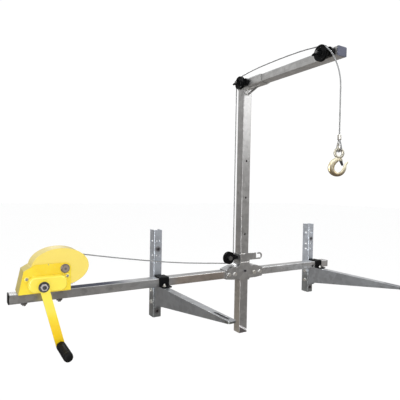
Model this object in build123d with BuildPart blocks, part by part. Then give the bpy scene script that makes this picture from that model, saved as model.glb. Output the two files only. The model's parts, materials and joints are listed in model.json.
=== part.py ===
from build123d import *
import os
from math import acos, atan2, cos, hypot, pi, radians, sin, sqrt

os.makedirs("parts", exist_ok=True)

# Portable winch crane clamped on two wall brackets. Millimetres, +Z up.
# The wall is the plane Y = 0 and the crane stands on its -Y side. The origin is the centre of the
# four wall anchor holes, and the beam's axis is level with it. +X runs along the beam, away from the winch.

# Wall brackets
bracket_spacing = 804.0
anchor_pitch = 232.0
anchor_hole = 11.0
sheet = 2.5
leg_width = 32.0
leg_depth = 38.0
leg_height = 325.0
leg_drop = 138.0
leg_slot_heights = (68.0, 92.0, 146.0)
leg_slot_length = 14.0
leg_slot_width = 6.0
arm_reach = 512.0
arm_root_depth = 86.0
arm_tip_depth = 7.0
arm_tip_round = 6.0
arm_heel = 10.0
arm_knee = 34.0
arm_knee_rise = 14.0
arm_play = 0.5
arm_slot_length = 75.0
arm_slot_width = 10.0
arm_slot_inset = 16.0
arm_bolt_size = 8.0
window_margin = 2.0

# Beam, post and jib tubes
beam_width = 40.0
beam_height = 30.0
beam_left_reach = 878.0
beam_right_reach = 498.0
beam_wall_gap = 1.0
tube_wall = 2.0
tube_corner = 3.0
post_side = 40.0
post_length = 1003.0
post_below = 248.0
post_x = -28.0
post_hole = 9.0
post_hole_pitch = 150.0
post_hole_count = 4
lock_height = 10.0
foot_cut_left = 31.0
foot_cut_right = 8.0
foot_cut_width = 1.5
foot_cut_bevel = 5.0
jib_width = 40.0
jib_height = 30.0
jib_reach = 541.0
cap_thickness = 3.0
cap_insert = 14.0
cap_play = 0.4
jib_inset = 2.0
slide_gap = 0.5
sight_hole = 11.0
sight_hole_drop = 3.0
sight_hole_inset = 27.5

# Beam clamps
clamp_width = 38.0
clamp_shift = 6.0
clamp_strap = 4.0
clamp_foot = 26.0
clamp_tongue = 14.0
clamp_tongue_play = 2.0
clamp_bolt_size = 6.0

# Cross connector and pulley band
plate = 3.0
connector_half_length = 92.0
connector_shoulder = 58.0
connector_shoulder_round = 18.0
connector_rise = 30.0
connector_drop = 22.0
connector_sleeve_drop = 29.0
connector_sleeve = 44.5
connector_bolt_offsets = (50.0, 79.0)
connector_bolt_size = 8.0
band_low = 45.0
band_high = 79.0
tab_reach = 58.0
tab_low = 53.0
tab_high = 81.0
stow_hook_reach = 90.0
stow_hook_stroke = 6.0
ear_radius = 12.0
lock_screw_size = 10.0
lock_screw_proud = 5.0
lock_socket_depth = 4.0

# Wire rope and pulleys
rope = 4.5
rope_radius = rope / 2
pulley_radius = 25.5
pulley_width = 11.0
pulley_rope_radius = 22.5
pulley_rim = 3.5
pulley_hub = 10.5
pulley_web_recess = 2.0
pulley_axle = 10.0
pulley_play = 0.05
wheel_gap = 0.5
rope_gap = 0.35
rope_offset = 20.0
top_pulley_y = -77.0
end_pulley_inset = 45.0
lower_pulley_z = 63.0
jib_rope_rise = 11.0
winch_rope_bend = 6600.0
hang_leave = 42.0
hook_reach = 78.0
guard_height = 14.0
spacer_radius = 14.5
spacer_reach = 24.0
wing_hub = 8.5
wing_hub_height = 13.0
wing_height = 20.5
wing_span = 19.0
wing_thickness = 4.0
wing_lean = 25.0

# Jib sleeve on top of the post
sleeve_wall = 2.7
sleeve_gap = 0.3
sleeve_reach = 186.0
gusset_drop = 27.0
gusset_reach = 82.0
gusset_thickness = 4.0
gusset_web = 9.0
gusset_lip = 1.5

# Hook, thimble and ferrule
ferrule_top = 511.0
ferrule_length = 17.0
ferrule_width = 15.5
ferrule_depth = 11.0
ferrule_chamfer = 0.8
loop_drop = 23.0
loop_radius = 11.5
loop_gap = 0.2
thimble_sheet = 1.5
thimble_width = 4.4
thimble_gap = 0.1
thimble_tip = 0.5
eye_radius = 13.0
eye_section = 4.0
eye_gap = 0.9
hook_turn = 69.0
hook_thickness = 12.0
hook_bowl_radius = 30.0
hook_mouth_radius = 12.0
hook_lug_radius = 5.0
latch_thickness = 7.8
latch_play = 0.4
latch_pin = 4.0
latch_pin_proud = 0.8
latch_pin_fit = 0.02

# Winch
winch_x = -750.0
drum_z = 85.0
gear_module = 2.0
gear_teeth = 58
pinion_teeth = 23
gear_gap = 2.5
pinion_play = 1.0
crank_z = 40.0
winch_plate = 3.0
winch_half_depth = 38.0
winch_left = 134.0
winch_right = 18.0
lobe_shoulder_out = 88.0
lobe_shoulder_rise = 18.0
lobe_corner_out = 120.0
rear_cheek_inset = 30.0
rear_cheek_step = 14.0
shaft_land = 21.0
gear_width = 9.0
drum_radius = 22.0
drum_flange = 56.0
drum_flange_sheet = 2.5
drum_rear_gap = 6.0
axle = 16.0
axle_head = 14.0
axle_head_height = 6.0
axle_nut_height = 8.0
axle_end = 2.0
shaft = 14.0
shaft_step = 1.0
shaft_tail = 4.0
shaft_end = 2.4
bush_wall = 2.5
bush_fit = 0.1
running_play = 0.05
shroud_half_width = 87.0
shroud_shift = 12.0
shroud_lift = 4.5
shroud_top_gap = 2.4
shroud_mouth = 37.0
shroud_sheet = 1.5
shroud_gap = 0.5
shroud_shaft_play = 2.0
winding_radius = 45.5
winding_pitch = 5.0
winding_loops = 3.25
core_gap = 0.3
winch_bolt_size = 10.0
winch_bolt_left = 113.0
winch_bolt_pitch = 104.5
brake_cover_length = 114.0
brake_cover_height = 50.0
brake_cover_depth = 17.0
brake_cover_sheet = 2.0
brake_cover_lead = 42.0
rivet_radius = 3.0
rivet_out = 2.0
ratchet_radius = 15.5
ratchet_root = 12.2
ratchet_teeth = 12
ratchet_width = 5.0
disc_thickness = 2.0
collar_gap = 0.4
collar_width = 2.2
pawl_out = 34.0
pawl_rise = 13.0
pawl_pin_radius = 3.0
pawl_boss = 2.5
pawl_side_gap = 0.3
pawl_tip_gap = 1.7
pawl_tip_angle = 50.0
hub_radius = 11.0
hub_play = 1.0
crank_stand_off = 7.0
crank_length = 192.0
crank_lean = 15.0
crank_bar = 26.0
crank_thickness = 7.0
crank_washer_radius = 16.0
crank_nut_radius = 9.0
crank_nut_height = 8.0
grip_length = 105.0
grip_radius = 14.0
grip_bolt = 12.0
grip_bolt_head = 6.0
grip_bolt_room = 3.0
grip_gap = 1.0
grip_end_wall = 8.0

# Fasteners
bolt_hole_play = 0.25
nut_gap = 0.12
flats_per_size = 1.65
head_per_size = 0.65
nut_per_size = 0.8
thread_end = 4.6
washer_thickness = 1.6
cut_past = 1.0

# Places worked out from the sizes above
left_leg_x = -bracket_spacing / 2
right_leg_x = bracket_spacing / 2
beam_rear = -leg_depth - beam_wall_gap
beam_front = beam_rear - beam_width
beam_y = (beam_rear + beam_front) / 2
beam_top = beam_height / 2
arm_top = -beam_height / 2
beam_left = post_x - beam_left_reach
beam_right = post_x + beam_right_reach
post_y = beam_y
post_left = post_x - post_side / 2
post_right = post_x + post_side / 2
post_front = post_y - post_side / 2
post_bottom = -post_below
post_top = post_length - post_below
sleeve_height = jib_height + 2 * (sleeve_wall + sleeve_gap)
sleeve_width = jib_width + 2 * (sleeve_wall + sleeve_gap)
jib_z = post_top + sleeve_height / 2
jib_left = post_x - jib_width / 2
rope_x = post_left - rope_offset
rope_y = top_pulley_y + pulley_rope_radius
end_pulley_y = -jib_reach + end_pulley_inset
lower_pulley_x = rope_x - pulley_rope_radius
front_plate_back = beam_front - slide_gap
rear_plate_front = beam_rear + slide_gap
sleeve_half = post_side / 2 + slide_gap + plate
arm_end_half = beam_height / 2 + slide_gap + plate
winch_front = beam_y - winch_half_depth
winch_rear = beam_y + winch_half_depth
winch_base_top = beam_top + winch_plate
gear_radius = gear_module * gear_teeth / 2
pinion_radius = gear_module * pinion_teeth / 2
addendum = 0.8 * gear_module
dedendum = 1.2 * gear_module
crank_x = winch_x - sqrt((gear_radius + pinion_radius) ** 2 - (drum_z - crank_z) ** 2)
gear_front = winch_front + winch_plate + shroud_sheet + gear_gap
gear_back = gear_front + gear_width
drum_front = gear_back + drum_flange_sheet
drum_back = winch_rear - winch_plate - drum_rear_gap
brake_front = winch_front - brake_cover_depth
crank_bar_back = brake_front - crank_stand_off
crank_bar_front = crank_bar_back - crank_thickness
hook_y = end_pulley_y - hook_reach


def facing_front(x, y, z):
    """Plane at (x, y, z) whose sketch axes are X and Z and which extrudes towards -Y."""
    return Plane((x, y, z), x_dir=(1, 0, 0), z_dir=(0, -1, 0))


def facing_right(x, y, z):
    """Plane at (x, y, z) whose sketch axes are Y and Z and which extrudes towards +X."""
    return Plane((x, y, z), x_dir=(0, 1, 0), z_dir=(1, 0, 0))


def seat(x, y, z, direction):
    """Plane at (x, y, z) that faces the given direction, for a bolt head or a nut to sit on."""
    return Plane((x, y, z), z_dir=direction)


def save(piece, name):
    """Labels a finished piece and writes it."""
    piece.part.label = name
    export_step(piece.part, f"parts/{name}.step")


def bolt_length(grip, size):
    """Shank length of a bolt that holds the given thickness and ends a little past its nut."""
    return grip + size * nut_per_size + thread_end


def hex_bolt(plane, size, length):
    """Adds a hexagon bolt whose head sits on the plane and whose shank goes down through it."""
    with BuildSketch(plane) as head:
        RegularPolygon(size * flats_per_size / 2, 6, major_radius=False)
    extrude(head.sketch, amount=size * head_per_size)
    with BuildSketch(plane) as shank:
        Circle(size / 2)
    extrude(shank.sketch, amount=-length)


def hex_nut(plane, size):
    """Adds a hexagon nut that sits on the plane, round a shank of the given size."""
    with BuildSketch(plane) as ring:
        RegularPolygon(size * flats_per_size / 2, 6, major_radius=False)
        Circle(size / 2 + nut_gap, mode=Mode.SUBTRACT)
    extrude(ring.sketch, amount=size * nut_per_size)


def bolt_hole(plane, size, depth):
    """Cuts a clearance hole for a bolt, from the plane along its normal."""
    with BuildSketch(plane) as hole:
        Circle(size / 2 + bolt_hole_play)
    extrude(hole.sketch, amount=depth, mode=Mode.SUBTRACT)


def rectangular_tube(plane, width, height, length):
    """Adds a rectangular tube of the common wall and corner, along the plane's normal."""
    with BuildSketch(plane) as section:
        RectangleRounded(width, height, tube_corner)
        RectangleRounded(width - 2 * tube_wall, height - 2 * tube_wall, tube_corner - tube_wall,
                         mode=Mode.SUBTRACT)
    extrude(section.sketch, amount=length)


def tube_plug(plane, width, height):
    """Adds an end plug: a flange on the plane's outer side and an insert on its inner side."""
    with BuildSketch(plane) as flange:
        RectangleRounded(width, height, tube_corner)
    extrude(flange.sketch, amount=cap_thickness)
    with BuildSketch(plane) as insert:
        Rectangle(width - 2 * (tube_wall + cap_play), height - 2 * (tube_wall + cap_play))
    extrude(insert.sketch, amount=-cap_insert)


def toothed_outline(teeth, outer, root, tip_half, root_half):
    """Corner points of a toothed wheel centred on the sketch, one tooth at angle 0."""
    points = []
    for tooth in range(teeth):
        middle = 2 * pi * tooth / teeth
        for radius, shift in ((root, -root_half), (outer, -tip_half), (outer, tip_half), (root, root_half)):
            points.append((radius * cos(middle + shift), radius * sin(middle + shift)))
    return points


def arc_point(centre, radius, angle):
    """Point of a circle in the sketch plane, with the angle in radians."""
    return (centre[0] + radius * cos(angle), centre[1] + radius * sin(angle))


def rope_tube(path):
    """Sweeps the rope's round section along the path that was drawn last."""
    with BuildSketch(Plane(origin=path.line @ 0, z_dir=path.line % 0)) as section:
        Circle(rope_radius)
    sweep(section.sketch)


# Wall brackets: a channel leg, its back to the wall and its front notched, and a folded arm bolted into it
arm_width = leg_width - 2 * sheet - 2 * arm_play
arm_bolt_y = -leg_depth * 0.55
arm_bolt_heights = (arm_top - 0.28 * arm_root_depth, arm_top - 0.78 * arm_root_depth)
clamp_bolt_y = beam_front - clamp_strap - clamp_foot / 2

for side, leg_x in (("left", left_leg_x), ("right", right_leg_x)):
    with BuildPart() as wall_leg:
        with BuildSketch(Plane.XY.offset(-leg_drop)):
            with Locations((leg_x, -leg_depth / 2)):
                Rectangle(leg_width, leg_depth)
            with Locations((leg_x, -leg_depth / 2 + sheet)):
                Rectangle(leg_width - 2 * sheet, leg_depth, mode=Mode.SUBTRACT)
        extrude(amount=leg_height)
        fillet(wall_leg.edges().filter_by(Axis.Z).group_by(Axis.Y)[0], sheet)
        with BuildSketch(facing_front(leg_x, 0, 0)):
            with Locations((0, anchor_pitch / 2), (0, -anchor_pitch / 2)):
                Circle(anchor_hole / 2 + sheet)
        extrude(amount=leg_depth - sheet)
        with BuildSketch(facing_front(leg_x, 0, 0)):
            with Locations((0, anchor_pitch / 2), (0, -anchor_pitch / 2)):
                Circle(anchor_hole / 2)
        extrude(amount=leg_depth, mode=Mode.SUBTRACT)
        with BuildSketch(facing_right(leg_x - leg_width / 2, -leg_depth / 2, 0)):
            with Locations(*[(0, height) for height in leg_slot_heights]):
                SlotOverall(leg_slot_length, leg_slot_width)
        extrude(amount=leg_width, mode=Mode.SUBTRACT)
        with BuildSketch(facing_front(leg_x, -leg_depth + sheet, 0)):
            with Locations(*[(0, height) for height in leg_slot_heights]):
                SlotOverall(leg_slot_length, leg_slot_width)
            window_top = beam_top + clamp_strap + window_margin
            window_bottom = arm_top - arm_root_depth - 2 * arm_play
            with Locations((0, (window_top + window_bottom) / 2)):
                Rectangle(leg_width - 2 * sheet, window_top - window_bottom)
        extrude(amount=sheet, mode=Mode.SUBTRACT)
        for height in arm_bolt_heights:
            bolt_hole(facing_right(leg_x - leg_width / 2, arm_bolt_y, height), arm_bolt_size, leg_width)
    save(wall_leg, f"{side}_wall_leg")

    with BuildPart() as bracket_arm:
        arm_root = -arm_play
        arm_bottom = arm_top - arm_root_depth
        with BuildSketch(facing_right(leg_x - arm_width / 2, 0, 0)):
            with BuildLine():
                heel = (-leg_depth - arm_heel, arm_bottom)
                bend = (-leg_depth - 0.6 * arm_knee, arm_bottom + 0.64 * arm_knee_rise)
                knee = (-leg_depth - arm_knee, arm_bottom + arm_knee_rise)
                Polyline(heel, (arm_root, arm_bottom), (arm_root, arm_top), (-arm_reach, arm_top),
                         (-arm_reach, arm_top - arm_tip_depth), knee)
                ThreePointArc(knee, bend, heel)
            make_face()
        extrude(amount=arm_width)
        fillet(bracket_arm.edges().filter_by(Axis.Z).group_by(Axis.Y)[0], arm_tip_round)
        with BuildSketch(facing_right(leg_x - arm_width / 2 + sheet, 0, 0)):
            with BuildLine():
                Polyline((arm_root, arm_bottom), (arm_root, arm_top - sheet),
                         (-arm_reach + sheet, arm_top - sheet), (-arm_reach + sheet, arm_bottom), close=True)
            make_face()
        extrude(amount=arm_width - 2 * sheet, mode=Mode.SUBTRACT)
        with BuildSketch(Plane.XY.offset(arm_top)):
            with Locations((leg_x, -arm_reach + arm_slot_inset + arm_slot_length / 2)):
                SlotOverall(arm_slot_length, arm_slot_width, rotation=90)
        extrude(amount=-sheet, mode=Mode.SUBTRACT)
        bolt_hole(seat(leg_x, clamp_bolt_y, arm_top, (0, 0, -1)), clamp_bolt_size, sheet)
        for height in arm_bolt_heights:
            bolt_hole(facing_right(leg_x - arm_width / 2, arm_bolt_y, height), arm_bolt_size, arm_width)
    save(bracket_arm, f"{side}_bracket_arm")

    # Beam clamp: a strap over the beam with a foot on the arm and a tongue hooked into the leg
    with BuildPart() as beam_clamp:
        strap_front = beam_front - clamp_strap
        strap_top = beam_top + clamp_strap
        with BuildSketch(facing_right(leg_x + clamp_shift - clamp_width / 2, 0, 0)):
            with BuildLine():
                Polyline((beam_rear, beam_top), (beam_rear, strap_top), (strap_front, strap_top),
                         (strap_front, arm_top + clamp_strap),
                         (strap_front - clamp_foot, arm_top + clamp_strap),
                         (strap_front - clamp_foot, arm_top), (beam_front, arm_top), (beam_front, beam_top),
                         close=True)
            make_face()
        extrude(amount=clamp_width)
        outer_bend = beam_clamp.edges().filter_by(Axis.X).group_by(Axis.Z)[-1].sort_by(Axis.Y)[0]
        fillet(outer_bend, clamp_strap * 0.9)
        fillet(beam_clamp.edges().filter_by(Axis.Z).group_by(Axis.Y)[0], clamp_strap)
        tongue_width = arm_width - 2 * clamp_tongue_play
        with BuildSketch(facing_right(leg_x - tongue_width / 2, 0, 0)):
            with BuildLine():
                tongue_end = beam_rear + clamp_tongue
                Polyline((beam_rear, beam_top), (beam_rear, strap_top), (tongue_end, strap_top),
                         (tongue_end, 0), (tongue_end - clamp_strap, 0), (tongue_end - clamp_strap, beam_top),
                         close=True)
            make_face()
        extrude(amount=tongue_width)
        bolt_hole(seat(leg_x, clamp_bolt_y, arm_top, (0, 0, 1)), clamp_bolt_size, clamp_strap)
    save(beam_clamp, f"{side}_beam_clamp")

with BuildPart() as arm_fasteners:
    for leg_x in (left_leg_x, right_leg_x):
        for height in arm_bolt_heights:
            head_seat = seat(leg_x - leg_width / 2, arm_bolt_y, height, (-1, 0, 0))
            hex_bolt(head_seat, arm_bolt_size, bolt_length(leg_width, arm_bolt_size))
            hex_nut(seat(leg_x + leg_width / 2, arm_bolt_y, height, (1, 0, 0)), arm_bolt_size)
save(arm_fasteners, "arm_fasteners")

with BuildPart() as clamp_fasteners:
    for leg_x in (left_leg_x, right_leg_x):
        head_seat = seat(leg_x, clamp_bolt_y, arm_top - sheet, (0, 0, -1))
        hex_bolt(head_seat, clamp_bolt_size, bolt_length(sheet + clamp_strap, clamp_bolt_size))
        hex_nut(seat(leg_x, clamp_bolt_y, arm_top + clamp_strap, (0, 0, 1)), clamp_bolt_size)
save(clamp_fasteners, "clamp_fasteners")

# Beam: two tubes that plug into the cross connector from either side of the post
winch_bolt_xs = (winch_x - winch_bolt_left, winch_x - winch_bolt_left + winch_bolt_pitch)
left_tube_end = post_left - slide_gap
right_tube_start = post_right + slide_gap

with BuildPart() as beam_left_tube:
    rectangular_tube(facing_right(beam_left, beam_y, 0), beam_width, beam_height, left_tube_end - beam_left)
    for bolt_x in winch_bolt_xs:
        bolt_hole(seat(bolt_x, beam_y, -beam_top, (0, 0, 1)), winch_bolt_size, beam_height)
    for offset_x in connector_bolt_offsets:
        bolt_hole(facing_front(post_x - offset_x, beam_rear, 0), connector_bolt_size, beam_width)
save(beam_left_tube, "beam_left_tube")

with BuildPart() as beam_right_tube:
    right_tube_plane = facing_right(right_tube_start, beam_y, 0)
    rectangular_tube(right_tube_plane, beam_width, beam_height, beam_right - right_tube_start)
    for offset_x in connector_bolt_offsets:
        bolt_hole(facing_front(post_x + offset_x, beam_rear, 0), connector_bolt_size, beam_width)
    sight_hole_x = right_leg_x - sight_hole_inset
    bolt_hole(facing_front(sight_hole_x, beam_front + tube_wall, -sight_hole_drop), sight_hole, tube_wall)
save(beam_right_tube, "beam_right_tube")

with BuildPart() as beam_end_caps:
    tube_plug(Plane((beam_left, beam_y, 0), x_dir=(0, -1, 0), z_dir=(-1, 0, 0)), beam_width, beam_height)
    tube_plug(facing_right(beam_right, beam_y, 0), beam_width, beam_height)
save(beam_end_caps, "beam_end_caps")

# Cross connector: two cross-shaped plates with a wall between them along their outline
outline_corners = []
connector_ends = {1: (connector_rise, connector_sleeve), -1: (connector_drop, connector_sleeve_drop)}
for mirror_x, mirror_z in ((-1, -1), (1, -1), (1, 1), (-1, 1)):
    shoulder_reach, sleeve_end = connector_ends[mirror_z]
    quarter = [
        (connector_half_length * mirror_x, arm_end_half * mirror_z),
        (connector_shoulder * mirror_x, shoulder_reach * mirror_z),
        (sleeve_half * mirror_x, shoulder_reach * mirror_z),
        (sleeve_half * mirror_x, sleeve_end * mirror_z),
    ]
    outline_corners += quarter if mirror_x == mirror_z else quarter[::-1]


def connector_outline(sketch):
    """Draws the cross-shaped outline with its inner corners rounded."""
    with BuildLine() as outline:
        Polyline(*outline_corners, close=True)
    make_face(outline.edges())
    for side, (shoulder_reach, sleeve_end) in connector_ends.items():
        inner = sketch.vertices().filter_by(
            lambda v: abs(abs(v.X) - sleeve_half) < 0.01 and abs(v.Y - side * shoulder_reach) < 0.01)
        fillet(inner, 0.8 * (sleeve_end - shoulder_reach))
    shoulders = sketch.vertices().filter_by(lambda v: abs(abs(v.X) - connector_shoulder) < 0.01)
    fillet(shoulders, connector_shoulder_round)


def connector_bolt_holes(y):
    """Cuts the four bolt holes through a connector plate whose back is at y."""
    for offset_x in connector_bolt_offsets:
        for bolt_x in (post_x - offset_x, post_x + offset_x):
            bolt_hole(facing_front(bolt_x, y, 0), connector_bolt_size, plate)


with BuildPart() as connector_front_plate:
    with BuildSketch(facing_front(post_x, front_plate_back, 0)) as front_sketch:
        connector_outline(front_sketch)
        with Locations((0, lock_height)):
            Circle(lock_screw_size / 2 + running_play, mode=Mode.SUBTRACT)
    extrude(amount=plate)
    connector_bolt_holes(front_plate_back)
save(connector_front_plate, "connector_front_plate")

ear_x = lower_pulley_x - post_x
with BuildPart() as connector_rear_plate:
    with BuildSketch(facing_front(post_x, rear_plate_front + plate, 0)) as rear_sketch:
        connector_outline(rear_sketch)
        with Locations((0, band_high / 2)):
            Rectangle(2 * sleeve_half, band_high)
        with Locations((ear_x / 2, lower_pulley_z)):
            Rectangle(-ear_x, 2 * ear_radius)
        with Locations((ear_x, lower_pulley_z)):
            Circle(ear_radius)
            Circle(pulley_axle / 2 + bolt_hole_play, mode=Mode.SUBTRACT)
    extrude(amount=plate)
    connector_bolt_holes(rear_plate_front + plate)
save(connector_rear_plate, "connector_rear_plate")

with BuildPart() as connector_walls:
    with BuildSketch(facing_front(post_x, rear_plate_front, 0)) as wall_sketch:
        connector_outline(wall_sketch)
        offset(amount=-plate, mode=Mode.SUBTRACT)
        Rectangle(2.2 * connector_half_length, beam_height + 2 * slide_gap, mode=Mode.SUBTRACT)
        Rectangle(post_side + 2 * slide_gap, 2.2 * connector_sleeve, mode=Mode.SUBTRACT)
    extrude(amount=rear_plate_front - front_plate_back)
save(connector_walls, "connector_walls")

with BuildPart() as connector_fasteners:
    front_seat = front_plate_back - plate
    rear_seat = rear_plate_front + plate
    for offset_x in connector_bolt_offsets:
        for bolt_x in (post_x - offset_x, post_x + offset_x):
            shank = bolt_length(rear_seat - front_seat, connector_bolt_size)
            hex_bolt(seat(bolt_x, front_seat, 0, (0, -1, 0)), connector_bolt_size, shank)
            hex_nut(seat(bolt_x, rear_seat, 0, (0, 1, 0)), connector_bolt_size)
save(connector_fasteners, "connector_fasteners")

# Socket set screw that bears on the post's front face
with BuildPart() as post_lock_screw:
    screw_front = front_plate_back - plate - lock_screw_proud
    with BuildSketch(facing_front(post_x, post_front - running_play, lock_height)):
        Circle(lock_screw_size / 2)
    extrude(amount=post_front - running_play - screw_front)
    with BuildSketch(facing_front(post_x, screw_front + lock_socket_depth, lock_height)):
        RegularPolygon(lock_screw_size * 0.25, 6, major_radius=False)
    extrude(amount=lock_socket_depth, mode=Mode.SUBTRACT)
save(post_lock_screw, "post_lock_screw")

# Band round the post above the connector, with a tab that ends in an open stowing hook
with BuildPart() as pulley_band:
    ring_centre = (stow_hook_reach - (tab_high - tab_low) / 2, (tab_low + tab_high) / 2)
    ring_radius = (tab_high - tab_low) / 2
    with BuildSketch(facing_front(post_x, front_plate_back, 0)):
        with Locations((0, (band_low + band_high) / 2)):
            Rectangle(2 * sleeve_half, band_high - band_low)
        with Locations((tab_reach / 2, (tab_low + tab_high) / 2)):
            Rectangle(tab_reach, tab_high - tab_low)
        with Locations(ring_centre):
            Circle(ring_radius)
            Circle(ring_radius - stow_hook_stroke, mode=Mode.SUBTRACT)
        with BuildLine():
            free_end = ring_centre[0] - 0.75 * ring_radius
            Polyline((tab_reach, tab_low + stow_hook_stroke), (ring_centre[0], tab_low + stow_hook_stroke),
                     (ring_centre[0], tab_high - stow_hook_stroke), (free_end, tab_high - stow_hook_stroke),
                     (free_end, tab_high + cut_past), (tab_reach, tab_high + cut_past), close=True)
        make_face(mode=Mode.SUBTRACT)
        with BuildLine():
            Polyline((tab_reach, tab_low), (ring_centre[0], tab_low),
                     (ring_centre[0], tab_low + stow_hook_stroke), (tab_reach, tab_low + stow_hook_stroke),
                     close=True)
        make_face()
        with BuildLine():
            Polyline((free_end, tab_high - stow_hook_stroke), (ring_centre[0], tab_high - stow_hook_stroke),
                     (ring_centre[0], tab_high), (free_end, tab_high), close=True)
        make_face()
    extrude(amount=plate)
    for wall_x in (post_x - sleeve_half + plate / 2, post_x + sleeve_half - plate / 2):
        with BuildSketch(facing_front(wall_x, rear_plate_front, (band_low + band_high) / 2)):
            Rectangle(plate, band_high - band_low)
        extrude(amount=rear_plate_front - front_plate_back)
save(pulley_band, "pulley_band")

# Lower pulley, turning on an axle along Y between the rear plate's ear and a black guard strap
guard_back = rope_y - pulley_width / 2 - wheel_gap
band_left = post_x - sleeve_half
with BuildPart() as lower_pulley_guard:
    with BuildSketch(facing_front(0, guard_back, lower_pulley_z)):
        strap_left = lower_pulley_x - ear_radius
        with Locations(((strap_left + band_left) / 2, 0)):
            RectangleRounded(band_left - strap_left, guard_height, guard_height * 0.3)
        with Locations((lower_pulley_x, 0)):
            Circle(pulley_axle / 2 + bolt_hole_play, mode=Mode.SUBTRACT)
    extrude(amount=plate)
    with BuildSketch(facing_front(band_left - plate / 2, rear_plate_front, lower_pulley_z)):
        Rectangle(plate, guard_height)
    extrude(amount=rear_plate_front - guard_back + plate)
save(lower_pulley_guard, "lower_pulley_guard")

with BuildPart() as lower_pulley_axle:
    axle_front = guard_back - plate
    axle_rear = rear_plate_front + plate
    head_seat = seat(lower_pulley_x, axle_front, lower_pulley_z, (0, -1, 0))
    hex_bolt(head_seat, pulley_axle, bolt_length(axle_rear - axle_front, pulley_axle))
    hex_nut(seat(lower_pulley_x, axle_rear, lower_pulley_z, (0, 1, 0)), pulley_axle)
    with BuildSketch(facing_front(lower_pulley_x, rear_plate_front, lower_pulley_z)):
        Circle(pulley_axle * 0.9)
        Circle(pulley_axle / 2 + nut_gap, mode=Mode.SUBTRACT)
    extrude(amount=rear_plate_front - rope_y - pulley_width / 2 - wheel_gap)
save(lower_pulley_axle, "lower_pulley_axle")


def pulley_profile():
    """Draws half of the grooved wheel: sketch X is the radius and sketch Y runs along the axle."""
    half = pulley_width / 2
    bore = pulley_axle / 2 + pulley_play
    groove = rope_radius + rope_gap
    lip = groove * 1.6
    shoulder_radius = pulley_rope_radius - groove * 0.7
    rim_inner = pulley_radius - pulley_rim
    web_outer = rim_inner - pulley_web_recess
    web_inner = pulley_hub + pulley_web_recess
    web = half - pulley_web_recess
    with BuildLine() as profile:
        Polyline((shoulder_radius, -groove * 0.77), (pulley_radius, -lip), (pulley_radius, -half),
                 (rim_inner, -half), (web_outer, -web), (web_inner, -web), (pulley_hub, -half), (bore, -half),
                 (bore, half), (pulley_hub, half), (web_inner, web), (web_outer, web), (rim_inner, half),
                 (pulley_radius, half), (pulley_radius, lip), (shoulder_radius, groove * 0.77))
        ThreePointArc((shoulder_radius, groove * 0.77), (pulley_rope_radius - groove, 0),
                      (shoulder_radius, -groove * 0.77))
    make_face(profile.edges())


with BuildPart() as lower_pulley:
    with BuildSketch(Plane((lower_pulley_x, rope_y, lower_pulley_z))):
        pulley_profile()
    revolve(axis=Axis((lower_pulley_x, rope_y, lower_pulley_z), (0, 1, 0)))
save(lower_pulley, "lower_pulley")

jib_pulleys = (("top_pulley", top_pulley_y, sleeve_width / 2), ("end_pulley", end_pulley_y, jib_width / 2))
for name, pulley_y, side_face in jib_pulleys:
    with BuildPart() as jib_pulley:
        with BuildSketch(Plane((rope_x, pulley_y, jib_z), x_dir=(0, 1, 0), z_dir=(0, 0, -1))):
            pulley_profile()
        revolve(axis=Axis((rope_x, pulley_y, jib_z), (1, 0, 0)))
    save(jib_pulley, name)

wheel_left = rope_x - pulley_width / 2
wheel_right = rope_x + pulley_width / 2
wing_seat = wheel_left - wheel_gap

with BuildPart() as jib_pulley_axles:
    for name, pulley_y, side_face in jib_pulleys:
        head_seat = post_x + side_face
        shank = head_seat - wing_seat + wing_hub_height + thread_end
        hex_bolt(seat(head_seat, pulley_y, jib_z, (1, 0, 0)), pulley_axle, shank)
save(jib_pulley_axles, "jib_pulley_axles")

with BuildPart() as pulley_spacers:
    for name, pulley_y, side_face in jib_pulleys:
        face_x = post_x - side_face
        with BuildSketch(facing_right(wheel_right + wheel_gap, pulley_y, jib_z)):
            with Locations((-spacer_reach / 2, 0)):
                SlotCenterToCenter(spacer_reach, 2 * spacer_radius)
            Circle(pulley_axle / 2 + nut_gap, mode=Mode.SUBTRACT)
        extrude(amount=face_x - wheel_right - wheel_gap)
save(pulley_spacers, "pulley_spacers")

with BuildPart() as pulley_wing_nuts:
    for name, pulley_y, side_face in jib_pulleys:
        with BuildSketch(seat(wing_seat, pulley_y, jib_z, (-1, 0, 0))):
            Circle(wing_hub)
            Circle(pulley_axle / 2 + nut_gap, mode=Mode.SUBTRACT)
        extrude(amount=wing_hub_height)
        wing_way = (0, cos(radians(wing_lean)), -sin(radians(wing_lean)))
        wings = Plane((wing_seat, pulley_y, jib_z), x_dir=wing_way, z_dir=(-1, 0, 0))
        with BuildSketch(wings):
            with Locations((wing_span / 2 + wing_hub * 0.4, 0), (-wing_span / 2 - wing_hub * 0.4, 0)):
                Rectangle(wing_span - wing_hub * 0.8, wing_thickness)
        extrude(amount=wing_height)
save(pulley_wing_nuts, "pulley_wing_nuts")

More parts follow.
